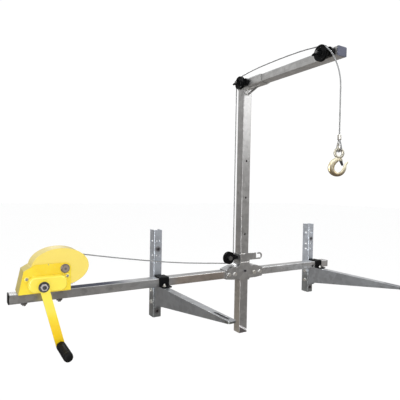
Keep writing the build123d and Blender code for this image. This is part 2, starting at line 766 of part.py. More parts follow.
# Post, jib sleeve and jib
with BuildPart() as post_tube:
    rectangular_tube(Plane((post_x, post_y, post_bottom)), post_side, post_side, post_length)
    for step in range(post_hole_count):
        hole_z = lock_height + step * post_hole_pitch
        with BuildSketch(facing_front(post_x, post_y + post_side / 2, hole_z)):
            Circle(post_hole / 2)
        extrude(amount=post_side, mode=Mode.SUBTRACT)
    # A slanted cut across the foot's front wall, its lower lip bevelled
    cut_left = post_left + tube_corner
    cut_right = post_right - tube_corner
    left_lip = post_bottom + foot_cut_left
    right_lip = post_bottom + foot_cut_right
    for depth, below, above in ((tube_wall, 0, foot_cut_width), (0, foot_cut_bevel, 2 * foot_cut_width)):
        with BuildSketch(facing_front(0, post_front + depth, 0)):
            with BuildLine():
                Polyline((cut_left, left_lip - below), (cut_right, right_lip - below),
                         (cut_right, right_lip + above), (cut_left, left_lip + above), close=True)
            make_face()
    loft(mode=Mode.SUBTRACT)
save(post_tube, "post_tube")

sleeve_rear = post_y + post_side / 2
with BuildPart() as jib_sleeve:
    with BuildSketch(facing_front(post_x, sleeve_rear, jib_z)):
        RectangleRounded(sleeve_width, sleeve_height, tube_corner + sleeve_wall)
        RectangleRounded(sleeve_width - 2 * sleeve_wall, sleeve_height - 2 * sleeve_wall, tube_corner,
                         mode=Mode.SUBTRACT)
    extrude(amount=sleeve_rear + sleeve_reach)
    gusset_tip = post_front - gusset_reach
    with BuildSketch(facing_right(post_x - gusset_thickness / 2, 0, 0)):
        with BuildLine():
            Polyline((post_front, post_top), (post_front, post_top - gusset_drop), (gusset_tip, post_top),
                     close=True)
        make_face()
        with BuildLine():
            slope = gusset_drop / gusset_reach
            window_back = post_front - gusset_web * 0.4
            window_end = post_front - gusset_reach + 3.6 * gusset_web
            window_low = post_top - gusset_drop + gusset_web
            Polyline((window_back, post_top - gusset_lip), (window_back, window_low),
                     (window_end, window_low + slope * (window_back - window_end)),
                     (window_end, post_top - gusset_lip), close=True)
        make_face(mode=Mode.SUBTRACT)
    extrude(amount=gusset_thickness)
    bolt_hole(facing_right(post_x - sleeve_width / 2, top_pulley_y, jib_z), pulley_axle, sleeve_width)
save(jib_sleeve, "jib_sleeve")

with BuildPart() as jib_tube:
    jib_rear = sleeve_rear - jib_inset
    rectangular_tube(facing_front(post_x, jib_rear, jib_z), jib_width, jib_height, jib_rear + jib_reach)
    for name, pulley_y, side_face in jib_pulleys:
        bolt_hole(facing_right(jib_left, pulley_y, jib_z), pulley_axle, jib_width)
save(jib_tube, "jib_tube")

with BuildPart() as jib_end_cap:
    tube_plug(facing_front(post_x, -jib_reach, jib_z), jib_width, jib_height)
save(jib_end_cap, "jib_end_cap")

# Winch frame: a base on the beam with a front and a rear side plate
lobe_shoulder = (winch_x - lobe_shoulder_out, drum_z + lobe_shoulder_rise)
lobe_corner = (winch_x - lobe_corner_out, drum_z)
frame_left = winch_x - winch_left
frame_right = winch_x + winch_right
rear_cheek_left = frame_left + rear_cheek_inset


def axle_end_of_cheek():
    """Draws a cheek's right edge, from the base up and round over the drum's axle."""
    over_axle = arc_point((winch_x, drum_z), winch_right, pi / 4)
    Line((frame_right, beam_top), (frame_right, drum_z))
    ThreePointArc((frame_right, drum_z), over_axle, (winch_x, drum_z + winch_right))


with BuildPart() as winch_frame:
    with BuildSketch(Plane.XY.offset(beam_top)):
        with Locations(((frame_left + frame_right) / 2, beam_y)):
            Rectangle(frame_right - frame_left, 2 * winch_half_depth)
    extrude(amount=winch_plate)
    with BuildSketch(facing_front(0, winch_front + winch_plate, 0)):
        with BuildLine():
            axle_end_of_cheek()
            Polyline((winch_x, drum_z + winch_right), lobe_shoulder, lobe_corner, (frame_left, beam_top),
                     (frame_right, beam_top))
        make_face()
    extrude(amount=winch_plate)
    with BuildSketch(facing_front(0, winch_rear, 0)):
        with BuildLine():
            axle_end_of_cheek()
            Polyline((winch_x, drum_z + winch_right), (crank_x - shaft_land, crank_z + shaft_land),
                     (rear_cheek_left, beam_top + rear_cheek_step), (rear_cheek_left, beam_top),
                     (frame_right, beam_top))
        make_face()
    extrude(amount=winch_plate)
    bush_radius = shaft / 2 + bush_wall
    bolt_hole(facing_front(winch_x, winch_rear, drum_z), axle, 2 * winch_half_depth)
    with BuildSketch(facing_front(crank_x, winch_rear, crank_z)):
        Circle(bush_radius)
    extrude(amount=2 * winch_half_depth, mode=Mode.SUBTRACT)
    for bolt_x in winch_bolt_xs:
        bolt_hole(seat(bolt_x, beam_y, beam_top, (0, 0, 1)), winch_bolt_size, winch_plate)
    # Window in the base, in front of the beam, that the pinion's teeth dip into
    with BuildSketch(Plane.XY.offset(beam_top)):
        with Locations((crank_x, (gear_front + gear_back) / 2)):
            Rectangle(2 * (pinion_radius + addendum + pinion_play), gear_width + 2 * pinion_play)
    extrude(amount=winch_plate, mode=Mode.SUBTRACT)
save(winch_frame, "winch_frame")

# Drum shroud: a pressed front panel with a deep rim over the drum's top and the winch's closed end
shroud_front = winch_front + winch_plate
shroud_rear = winch_rear - winch_plate - shroud_gap
shroud_low = winch_base_top + shroud_gap
shroud_half_height = gear_radius + addendum + shroud_top_gap - shroud_lift + shroud_sheet
shroud_cut = 4 * shroud_half_width


def shroud_outline(inset):
    """Draws the oval drum cover together with the lobe over the pinion, drawn in by an inset."""
    with Locations((winch_x - shroud_shift, drum_z + shroud_lift)):
        Ellipse(shroud_half_width - inset, shroud_half_height - inset)
    with BuildLine() as lobe:
        Polyline((winch_x, shroud_low), (winch_x, drum_z), (lobe_shoulder[0], lobe_shoulder[1] - inset),
                 (lobe_corner[0] + inset, lobe_corner[1] - inset), (frame_left + inset, shroud_low),
                 close=True)
    make_face(lobe.edges())
    with Locations((winch_x, shroud_low - shroud_cut / 2)):
        Rectangle(shroud_cut, shroud_cut, mode=Mode.SUBTRACT)


with BuildPart() as drum_shroud:
    with BuildSketch(facing_front(0, shroud_rear, 0)):
        shroud_outline(0)
    extrude(amount=shroud_rear - shroud_front)
    with BuildSketch(facing_front(0, shroud_rear, 0)):
        shroud_outline(shroud_sheet)
        with Locations((winch_x, shroud_low)):
            Rectangle(shroud_cut, 2 * shroud_sheet)
        with Locations((winch_x + shroud_cut / 2, drum_z - shroud_cut / 2)):
            Rectangle(shroud_cut, shroud_cut)
        with Locations((winch_x + shroud_mouth + shroud_cut / 2, drum_z)):
            Rectangle(shroud_cut, shroud_cut)
    extrude(amount=shroud_rear - shroud_front - shroud_sheet, mode=Mode.SUBTRACT)
    bolt_hole(facing_front(winch_x, shroud_rear, drum_z), axle, shroud_rear - shroud_front)
    shaft_opening = shaft + 2 * shroud_shaft_play
    bolt_hole(facing_front(crank_x, shroud_rear, crank_z), shaft_opening, shroud_rear - shroud_front)
save(drum_shroud, "drum_shroud")

# Brake cover on the front plate, over the ratchet and its friction discs
cover_x = crank_x + brake_cover_length / 2 - brake_cover_lead
cover_z = winch_base_top + brake_cover_height / 2 + shroud_gap
cover_corner = brake_cover_height * 0.44
rivet_side = brake_cover_length / 2 + rivet_out
rivet_height = cover_z + brake_cover_height * 0.36
rivet_places = ((cover_x - rivet_side, rivet_height), (cover_x + rivet_side, rivet_height))

with BuildPart() as brake_cover:
    with BuildSketch(facing_front(cover_x, winch_front, cover_z)):
        RectangleRounded(brake_cover_length, brake_cover_height, cover_corner)
    extrude(amount=brake_cover_depth, taper=8)
    fillet(brake_cover.faces().sort_by(Axis.Y)[0].edges(), brake_cover_depth * 0.3)
    with BuildSketch(facing_front(0, winch_front, 0)):
        for rivet_x, rivet_z in rivet_places:
            with Locations((rivet_x, rivet_z)):
                Circle(rivet_radius * 2.8)
    extrude(amount=brake_cover_sheet)
    inner_length = brake_cover_length - 2 * brake_cover_sheet
    inner_height = brake_cover_height - 2 * brake_cover_sheet
    with BuildSketch(facing_front(cover_x, winch_front, cover_z)):
        RectangleRounded(inner_length, inner_height, cover_corner - brake_cover_sheet)
    extrude(amount=brake_cover_depth - brake_cover_sheet, taper=9, mode=Mode.SUBTRACT)
    with BuildSketch(facing_front(crank_x, winch_front, crank_z)):
        Circle(hub_radius + hub_play)
    extrude(amount=brake_cover_depth, mode=Mode.SUBTRACT)
    for rivet_x, rivet_z in rivet_places:
        bolt_hole(facing_front(rivet_x, winch_front, rivet_z), 2 * rivet_radius, brake_cover_sheet)
save(brake_cover, "brake_cover")

with BuildPart() as cover_rivets:
    for rivet_x, rivet_z in rivet_places:
        with BuildSketch(facing_front(rivet_x, winch_front, rivet_z)):
            Circle(rivet_radius)
        extrude(amount=brake_cover_sheet)
        with BuildSketch(facing_front(rivet_x, winch_front - brake_cover_sheet, rivet_z)):
            Circle(rivet_radius * 1.7)
        extrude(amount=rivet_radius * 0.8, taper=25)
save(cover_rivets, "cover_rivets")

with BuildPart() as winch_fasteners:
    for bolt_x in winch_bolt_xs:
        shank = bolt_length(winch_plate + beam_height, winch_bolt_size)
        hex_bolt(seat(bolt_x, beam_y, winch_base_top, (0, 0, 1)), winch_bolt_size, shank)
        hex_nut(seat(bolt_x, beam_y, -beam_top, (0, 0, -1)), winch_bolt_size)
save(winch_fasteners, "winch_fasteners")

with BuildPart() as drum_axle:
    axle_flat = axle_head * 0.78
    with BuildSketch(facing_front(winch_x, winch_front, drum_z)):
        Circle(axle_head)
    extrude(amount=washer_thickness)
    with BuildSketch(facing_front(winch_x, winch_front - washer_thickness, drum_z)):
        RegularPolygon(axle_flat, 6, major_radius=False)
    extrude(amount=axle_head_height)
    with BuildSketch(facing_front(winch_x, winch_front, drum_z)):
        Circle(axle / 2)
    extrude(amount=-(2 * winch_half_depth + axle_nut_height + axle_end))
    with BuildSketch(seat(winch_x, winch_rear, drum_z, (0, 1, 0))):
        RegularPolygon(axle_flat, 6, major_radius=False)
        Circle(axle / 2 + nut_gap, mode=Mode.SUBTRACT)
    extrude(amount=axle_nut_height)
save(drum_axle, "drum_axle")

with BuildPart() as shaft_bushes:
    for bush_back in (winch_front + winch_plate, winch_rear):
        with BuildSketch(facing_front(crank_x, bush_back, crank_z)):
            Circle(bush_radius - bush_fit)
            Circle(shaft / 2 + running_play, mode=Mode.SUBTRACT)
        extrude(amount=winch_plate)
save(shaft_bushes, "shaft_bushes")

# Drum, its gear, the rope wound on it and the inner layers of rope below the wound layer
with BuildPart() as rope_drum:
    with BuildSketch(facing_front(winch_x, drum_back, drum_z)):
        Circle(drum_radius)
    extrude(amount=drum_back - gear_back)
    for flange_back in (drum_front, drum_back):
        with BuildSketch(facing_front(winch_x, flange_back, drum_z)):
            Circle(drum_flange)
        extrude(amount=drum_flange_sheet)
    with BuildSketch(facing_front(winch_x, drum_back, drum_z)):
        Circle(axle / 2 + running_play)
    extrude(amount=drum_back - gear_back, mode=Mode.SUBTRACT)
save(rope_drum, "rope_drum")

tooth_angle = atan2(drum_z - crank_z, winch_x - crank_x)

with BuildPart() as drum_gear:
    mesh_turn = (tooth_angle + pi) * 180 / pi
    with BuildSketch(facing_front(winch_x, gear_back, drum_z)):
        with BuildLine():
            Polyline(*toothed_outline(gear_teeth, gear_radius + addendum, gear_radius - dedendum,
                                      0.8 / gear_teeth, 2.0 / gear_teeth), close=True)
        make_face()
        Circle(axle / 2 + running_play, mode=Mode.SUBTRACT)
    extrude(amount=gear_width)
gear_axis = Axis((winch_x, gear_back, drum_z), (0, -1, 0))
drum_gear.part = drum_gear.part.rotate(gear_axis, mesh_turn)
save(drum_gear, "drum_gear")

with BuildPart() as rope_core:
    core_front = drum_front + core_gap
    core_back = drum_back - drum_flange_sheet - core_gap
    core_radius = winding_radius - rope_radius - core_gap
    with BuildSketch(facing_front(winch_x, core_back, drum_z)):
        Circle(core_radius)
        Circle(drum_radius + running_play, mode=Mode.SUBTRACT)
    extrude(amount=core_back - core_front)
save(rope_core, "rope_core")

# Run from the drum to the lower pulley: a long shallow sag, tangent to the winding and to the pulley
drum_centre = (winch_x, drum_z)
pulley_centre = (lower_pulley_x, lower_pulley_z)
span = hypot(pulley_centre[0] - drum_centre[0], pulley_centre[1] - drum_centre[1])
span_angle = atan2(pulley_centre[1] - drum_centre[1], pulley_centre[0] - drum_centre[0])
from_drum = winch_rope_bend + winding_radius
from_pulley = winch_rope_bend - pulley_rope_radius
bend_angle = span_angle + acos((from_drum**2 + span**2 - from_pulley**2) / (2 * from_drum * span))
sag_centre = arc_point(drum_centre, from_drum, bend_angle)
leave_angle = bend_angle
sag_start = bend_angle + pi
sag_end = atan2(pulley_centre[1] - sag_centre[1], pulley_centre[0] - sag_centre[0]) + 2 * pi
clear_run = sqrt((winding_radius + 2 * rope_radius + rope_gap) ** 2 - winding_radius**2)
run_start = sag_start + clear_run / winch_rope_bend

with BuildPart() as rope_winch_run:
    with BuildLine(facing_front(0, rope_y, 0)) as winch_path:
        ThreePointArc(arc_point(sag_centre, winch_rope_bend, run_start),
                      arc_point(sag_centre, winch_rope_bend, (run_start + sag_end) / 2),
                      arc_point(sag_centre, winch_rope_bend, sag_end))
        ThreePointArc(arc_point(pulley_centre, pulley_rope_radius, sag_end),
                      arc_point(pulley_centre, pulley_rope_radius, (sag_end + 2 * pi) / 2),
                      arc_point(pulley_centre, pulley_rope_radius, 2 * pi))
    rope_tube(winch_path)
    winch_run_length = winch_path.wire().length
save(rope_winch_run, "rope_winch_run")

# Wound layer: quarter turns, each as two arcs that share the helix's directions at their ends
def winding_point(turns):
    """Point of the wound layer and its direction, counted in turns back from where the rope leaves."""
    angle = leave_angle + 2 * pi * turns
    point = Vector(winch_x + winding_radius * cos(angle), rope_y + winding_pitch * turns,
                   drum_z + winding_radius * sin(angle))
    slope = winding_pitch / (2 * pi)
    direction = Vector(winding_radius * sin(angle), -slope, -winding_radius * cos(angle)).normalized()
    return point, direction


quarter_turns = int(winding_loops * 4)
with BuildPart() as rope_winding:
    with BuildLine() as winding_path:
        first_point, first_direction = winding_point(quarter_turns / 4)
        Line(first_point - first_direction * rope, first_point)
        for quarter in range(quarter_turns, 0, -1):
            start, start_way = winding_point(quarter / 4)
            end, end_way = winding_point((quarter - 1) / 4)
            chord = end - start
            ways = start_way + end_way
            square = 2 * (1 - start_way.dot(end_way))
            reach = (-chord.dot(ways) + sqrt(chord.dot(ways) ** 2 + square * chord.dot(chord))) / square
            middle = (start + end + (start_way - end_way) * reach) * 0.5
            TangentArc(start, middle, tangent=start_way)
            TangentArc(end, middle, tangent=end_way * -1)
        last_point, last_direction = winding_point(0)
        Line(last_point, last_point + last_direction * rope)
    rope_tube(winding_path)
    winding_length = winding_path.wire().length
save(rope_winding, "rope_winding")

# Run up the post, run along the jib, over both pulleys and down in a stiff bow, and the hanging run
with BuildPart() as rope_post_run:
    with BuildSketch(Plane((rope_x, rope_y, lower_pulley_z))):
        Circle(rope_radius)
    extrude(amount=jib_z - lower_pulley_z)
save(rope_post_run, "rope_post_run")

half_run = (top_pulley_y - end_pulley_y) / 2
rise_depth = (half_run**2 - jib_rope_rise**2) / (2 * jib_rope_rise)
rise_bend = rise_depth + jib_rope_rise + pulley_rope_radius
rise_centre = (top_pulley_y - half_run, jib_z - rise_depth)
rise_half_angle = atan2(half_run, rise_depth)
hang_angle = pi / 2 + radians(hang_leave)
end_centre = (end_pulley_y, jib_z)
top_centre = (top_pulley_y, jib_z)
hang_start = arc_point(end_centre, pulley_rope_radius, hang_angle)
hang_bend = (hang_start[0] - hook_y) / (1 - sin(radians(hang_leave)))
hang_centre = arc_point(hang_start, -hang_bend, hang_angle)
hang_foot = arc_point(hang_centre, hang_bend, pi)

with BuildPart() as rope_jib_run:
    with BuildLine(facing_right(rope_x, 0, 0)) as jib_path:
        top_leave = pi / 2 - rise_half_angle
        end_reach = pi / 2 + rise_half_angle
        ThreePointArc(arc_point(top_centre, pulley_rope_radius, 0),
                      arc_point(top_centre, pulley_rope_radius, top_leave / 2),
                      arc_point(top_centre, pulley_rope_radius, top_leave))
        ThreePointArc(arc_point(rise_centre, rise_bend, top_leave),
                      arc_point(rise_centre, rise_bend, pi / 2),
                      arc_point(rise_centre, rise_bend, end_reach))
        ThreePointArc(arc_point(end_centre, pulley_rope_radius, end_reach),
                      arc_point(end_centre, pulley_rope_radius, (end_reach + hang_angle) / 2), hang_start)
        ThreePointArc(hang_start, arc_point(hang_centre, hang_bend, (hang_angle + pi) / 2), hang_foot)
    rope_tube(jib_path)
    jib_run_length = jib_path.wire().length
save(rope_jib_run, "rope_jib_run")

with BuildPart() as rope_hanging_run:
    hang_length = hang_foot[1] - ferrule_top
    with BuildSketch(Plane((rope_x, hook_y, ferrule_top))):
        Circle(rope_radius)
    extrude(amount=hang_length)
save(rope_hanging_run, "rope_hanging_run")

# Ferrule, rope eye with its thimble, hook and safety latch, all turned on the rope by the same angle
loop_top = ferrule_top - ferrule_length
loop_z = loop_top - loop_drop
leg_spread = rope_radius + loop_gap
hook_way = (sin(radians(hook_turn)), -cos(radians(hook_turn)), 0)
hook_side = (cos(radians(hook_turn)), sin(radians(hook_turn)), 0)

with BuildPart() as rope_ferrule:
    with BuildSketch(Plane((rope_x, hook_y, loop_top), x_dir=hook_side, z_dir=(0, 0, 1))):
        RectangleRounded(ferrule_width, ferrule_depth, ferrule_depth * 0.45)
    extrude(amount=ferrule_length)
    chamfer(rope_ferrule.faces().filter_by(Axis.Z).edges(), ferrule_chamfer)
save(rope_ferrule, "rope_ferrule")


def loop_touch(radius, spread):
    """Point where a loop's straight leg, which starts beside the axis at the top, meets its round end."""
    away = hypot(spread, loop_drop)
    angle = atan2(loop_drop, spread) - acos(radius / away)
    return (radius * cos(angle), radius * sin(angle))


with BuildPart() as rope_eye:
    touch = loop_touch(loop_radius, leg_spread)
    loop_plane = Plane((rope_x, hook_y, loop_z), x_dir=hook_side, z_dir=hook_way)
    with BuildLine(loop_plane) as loop_path:
        leg_end = (leg_spread + 0.05 * (touch[0] - leg_spread), loop_drop - 0.05 * (loop_drop - touch[1]))
        Line((-leg_end[0], leg_end[1]), (-touch[0], touch[1]))
        ThreePointArc((-touch[0], touch[1]), (0, -loop_radius), touch)
        Line(touch, leg_end)
    rope_tube(loop_path)
    loop_length = loop_path.wire().length
save(rope_eye, "rope_eye")

thimble_outer = loop_radius - rope_radius - thimble_gap
thimble_inner = thimble_outer - thimble_sheet


def loop_face(radius, mode):
    """Draws the area inside a loop of the given round end."""
    corner = loop_touch(radius, thimble_tip)
    with BuildLine() as outline:
        Polyline(corner, (0, loop_drop * 0.86 * radius / thimble_outer), (-corner[0], corner[1]))
        ThreePointArc((-corner[0], corner[1]), (0, -radius), corner)
    make_face(outline.edges(), mode=mode)


with BuildPart() as rope_thimble:
    with BuildSketch(loop_plane.offset(-thimble_width / 2)):
        loop_face(thimble_outer, Mode.ADD)
        loop_face(thimble_inner, Mode.SUBTRACT)
    extrude(amount=thimble_width)
save(rope_thimble, "rope_thimble")

eye_z = loop_z - thimble_inner + eye_gap - (eye_radius - eye_section)
eye_plane = Plane((rope_x, hook_y, eye_z), x_dir=hook_way, z_dir=tuple(-part for part in hook_side))
hook_plane = eye_plane.offset(hook_thickness / 2)
latch_pivot = (5.0, -20.0)
bowl_centre = (-5.0, -40.0)
mouth_centre = (-1.5, -45.5)
shank_outline = ((-6.0, -11.0), (6.0, -11.0), (9.0, -16.0), (4.0, -28.0), (-20.0, -24.0))
throat_outline = ((10.5, -5.0), (10.5, -22.0), (6.0, -27.0), (0.5, -33.5), (6.0, -41.0), (10.5, -40.5),
                  (13.5, -37.5), (22.0, -33.0), (60.0, -29.0), (60.0, -5.0))
tip_outline = ((16.0, -35.5), (22.0, -31.5), (30.0, -24.5), (32.5, -26.0), (28.5, -38.0))
latch_room = ((1.0, -20.0), (14.0, -20.0), (14.0, -36.0), (-8.0, -36.0))
latch_outline = ((2.8, -22.5), (9.2, -21.0), (13.0, -35.0), (11.0, -37.6))

with BuildPart() as hook:
    with BuildSketch(hook_plane):
        with Locations(bowl_centre):
            Circle(hook_bowl_radius)
        with BuildLine():
            Polyline(*shank_outline, close=True)
        make_face()
        with Locations(latch_pivot):
            Circle(hook_lug_radius)
        with Locations(mouth_centre):
            Circle(hook_mouth_radius, mode=Mode.SUBTRACT)
        with BuildLine():
            Polyline(*throat_outline, close=True)
        make_face(mode=Mode.SUBTRACT)
        with BuildLine():
            Polyline(*tip_outline, close=True)
        make_face()
    extrude(amount=-hook_thickness)
    with Locations(eye_plane):
        Torus(eye_radius, eye_section)
    slot_plane = eye_plane.offset(latch_thickness / 2 + latch_play)
    with BuildSketch(slot_plane):
        with Locations(latch_pivot):
            Circle(hook_lug_radius + latch_play)
        with BuildLine():
            Polyline(*latch_room, close=True)
        make_face()
    extrude(amount=-(latch_thickness + 2 * latch_play), mode=Mode.SUBTRACT)
    with BuildSketch(hook_plane):
        with Locations(latch_pivot):
            Circle(latch_pin / 2 + latch_pin_fit)
    extrude(amount=-hook_thickness, mode=Mode.SUBTRACT)
save(hook, "hook")

with BuildPart() as latch:
    with BuildSketch(eye_plane.offset(latch_thickness / 2)):
        with Locations(latch_pivot):
            Circle(hook_lug_radius - latch_play / 2)
        with BuildLine():
            Polyline(*latch_outline, close=True)
        make_face()
        with Locations(latch_pivot):
            Circle(latch_pin / 2 + running_play, mode=Mode.SUBTRACT)
    extrude(amount=-latch_thickness)
save(latch, "latch")

with BuildPart() as latch_pin_piece:
    with BuildSketch(hook_plane.offset(latch_pin_proud)):
        with Locations(latch_pivot):
            Circle(latch_pin / 2)
    extrude(amount=-(hook_thickness + 2 * latch_pin_proud))
save(latch_pin_piece, "latch_pin")

# Crank shaft with its pinion and collar, the brake stack, the crank and its grip
collar_back = winch_front - collar_gap
disc_back = collar_back - collar_width
ratchet_back = disc_back - disc_thickness
hub_back = ratchet_back - ratchet_width - disc_thickness
shaft_rear = winch_rear + shaft_tail
shaft_front = crank_bar_front - washer_thickness - crank_nut_height - shaft_end
crank_seat = shaft / 2 - shaft_step

with BuildPart() as crank_shaft:
    with BuildSketch(facing_front(crank_x, shaft_rear, crank_z)):
        Circle(shaft / 2)
    extrude(amount=shaft_rear - crank_bar_back)
    with BuildSketch(facing_front(crank_x, crank_bar_back, crank_z)):
        Circle(crank_seat)
    extrude(amount=crank_bar_back - shaft_front)
    with BuildSketch(facing_front(crank_x, collar_back, crank_z)):
        Circle(ratchet_root)
    extrude(amount=collar_back - disc_back)
    space_angle = tooth_angle + pi / pinion_teeth
    space_way = (cos(space_angle), 0, sin(space_angle))
    with BuildSketch(Plane((crank_x, gear_back, crank_z), z_dir=(0, -1, 0), x_dir=space_way)):
        with BuildLine():
            Polyline(*toothed_outline(pinion_teeth, pinion_radius + addendum, pinion_radius - dedendum,
                                      0.65 / pinion_teeth, 1.9 / pinion_teeth), close=True)
        make_face()
    extrude(amount=gear_width)
save(crank_shaft, "crank_shaft")

with BuildPart() as ratchet_wheel:
    with BuildSketch(facing_front(crank_x, ratchet_back, crank_z)):
        with BuildLine():
            Polyline(*[arc_point((0, 0), radius, 2 * pi * (tooth + share) / ratchet_teeth)
                       for tooth in range(ratchet_teeth)
                       for radius, share in ((ratchet_root, 0.0), (ratchet_radius, 0.85))], close=True)
        make_face()
        Circle(shaft / 2 + nut_gap, mode=Mode.SUBTRACT)
    extrude(amount=ratchet_width)
save(ratchet_wheel, "ratchet_wheel")

with BuildPart() as friction_discs:
    for back in (disc_back, ratchet_back - ratchet_width):
        with BuildSketch(facing_front(crank_x, back, crank_z)):
            Circle(ratchet_root)
            Circle(shaft / 2 + nut_gap, mode=Mode.SUBTRACT)
        extrude(amount=disc_thickness)
save(friction_discs, "friction_discs")

crank_turn_angle = radians(-90.0 + crank_lean)
crank_way = (cos(crank_turn_angle), 0, sin(crank_turn_angle))
crank_plane = Plane((crank_x, crank_bar_back, crank_z), x_dir=crank_way, z_dir=(0, -1, 0))
grip_x = crank_x + crank_length * cos(crank_turn_angle)
grip_z = crank_z + crank_length * sin(crank_turn_angle)

with BuildPart() as crank_arm:
    with BuildSketch(facing_front(crank_x, hub_back, crank_z)):
        Circle(hub_radius)
        Circle(shaft / 2 + nut_gap, mode=Mode.SUBTRACT)
    extrude(amount=hub_back - crank_bar_back)
    with BuildSketch(crank_plane):
        with Locations((crank_length / 2, 0)):
            SlotOverall(crank_length + crank_bar, crank_bar)
        Circle(crank_seat + nut_gap, mode=Mode.SUBTRACT)
        with Locations((crank_length, 0)):
            Circle(grip_bolt / 2 + nut_gap, mode=Mode.SUBTRACT)
    extrude(amount=crank_thickness)
save(crank_arm, "crank_arm")

with BuildPart() as crank_washer:
    with BuildSketch(facing_front(crank_x, crank_bar_front, crank_z)):
        Circle(crank_washer_radius)
        Circle(crank_seat + nut_gap, mode=Mode.SUBTRACT)
    extrude(amount=washer_thickness)
save(crank_washer, "crank_washer")

with BuildPart() as crank_nut:
    with BuildSketch(facing_front(crank_x, crank_bar_front - washer_thickness, crank_z)):
        RegularPolygon(crank_nut_radius, 6, major_radius=False)
        Circle(crank_seat + nut_gap, mode=Mode.SUBTRACT)
    extrude(amount=crank_nut_height)
save(crank_nut, "crank_nut")

grip_back = crank_bar_front - grip_gap
grip_bore_end = grip_back - grip_length + grip_end_wall
with BuildPart() as grip_bolt_piece:
    with BuildSketch(facing_front(grip_x, crank_bar_back + grip_bolt_head, grip_z)):
        RegularPolygon(grip_bolt * 0.75, 6, major_radius=False)
    extrude(amount=grip_bolt_head)
    with BuildSketch(facing_front(grip_x, crank_bar_back, grip_z)):
        Circle(grip_bolt / 2)
    extrude(amount=crank_bar_back - grip_bore_end - grip_bolt_room)
save(grip_bolt_piece, "grip_bolt")

with BuildPart() as hand_grip:
    with BuildSketch(facing_front(grip_x, grip_back, grip_z)):
        Circle(grip_radius)
    extrude(amount=grip_length)
    fillet(hand_grip.faces().filter_by(Axis.Y).edges(), grip_radius * 0.25)
    with BuildSketch(facing_front(grip_x, grip_back, grip_z)):
        Circle(grip_bolt / 2 + pulley_play)
    extrude(amount=grip_back - grip_bore_end, mode=Mode.SUBTRACT)
save(hand_grip, "hand_grip")

# Pawl on its pin, held just clear of the ratchet's teeth
pawl_x = crank_x + pawl_out
pawl_z = crank_z + pawl_rise
pawl_tip_reach = ratchet_radius + pawl_tip_gap

with BuildPart() as pawl_pin:
    with BuildSketch(facing_front(pawl_x, winch_front, pawl_z)):
        Circle(pawl_pin_radius)
    extrude(amount=brake_cover_depth - brake_cover_sheet - hub_play)
    with BuildSketch(facing_front(pawl_x, winch_front, pawl_z)):
        Circle(pawl_pin_radius + pawl_boss)
    extrude(amount=winch_front - ratchet_back - pawl_side_gap)
save(pawl_pin, "pawl_pin")

with BuildPart() as pawl:
    with BuildSketch(facing_front(pawl_x, ratchet_back, pawl_z)):
        Circle(pawl_pin_radius + pawl_boss)
        with BuildLine():
            tip = arc_point((crank_x - pawl_x, crank_z - pawl_z), pawl_tip_reach, radians(pawl_tip_angle))
            Polyline((0, -pawl_pin_radius - pawl_boss), tip, (-pawl_boss, pawl_pin_radius + pawl_boss / 2),
                     close=True)
        make_face()
        Circle(pawl_pin_radius + running_play, mode=Mode.SUBTRACT)
    extrude(amount=ratchet_width - 2 * pawl_side_gap)
save(pawl, "pawl")

# Rope lengths, and the wound layer's least gap to itself, measured between points of neighbouring turns
samples = [winding_point(winding_loops * i / 600)[0] for i in range(601)]
per_turn = int(600 / winding_loops)
neighbour_gap = min((samples[i] - samples[i + per_turn + shift]).length
                    for i in range(0, 601 - per_turn - 8, 5) for shift in range(-8, 9)) - rope
print(f"wound layer: {winding_length:.0f} mm long, least gap to itself {neighbour_gap:.2f} mm")
core_volume = pi * (core_radius**2 - drum_radius**2) * (core_back - core_front)
free_length = winch_run_length + (jib_z - lower_pulley_z) + jib_run_length + hang_length + loop_length
print(f"rope: free {free_length:.0f} mm, inner layers about {core_volume / rope**2:.0f} mm")
print(f"rope bends: sag {winch_rope_bend:.0f}, pulleys {pulley_rope_radius:.1f}, jib {rise_bend:.0f} mm")
print(f"rope bends: bow {hang_bend:.0f}, eye {loop_radius:.1f}, drum {winding_radius:.1f} mm")
print(f"hook hangs at Y {hook_y:.2f}, eye Z {eye_z:.2f}, loop Z {loop_z:.2f}, bow to Z {hang_foot[1]:.2f}")
print(f"crank axis X {crank_x:.3f}, grip X {grip_x:.3f} Z {grip_z:.3f}")
print(f"pawl X {pawl_x:.3f} Z {pawl_z:.3f}, jib Z {jib_z:.3f}, end pulley Y {end_pulley_y:.2f}")
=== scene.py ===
"""Dresses the portable winch crane: finishes, wire rope, forged hook, welds and small hardware."""

import json
import logging
import math
from dataclasses import dataclass
from enum import Enum
from typing import Sequence

import bpy
from mathutils import Matrix, Vector


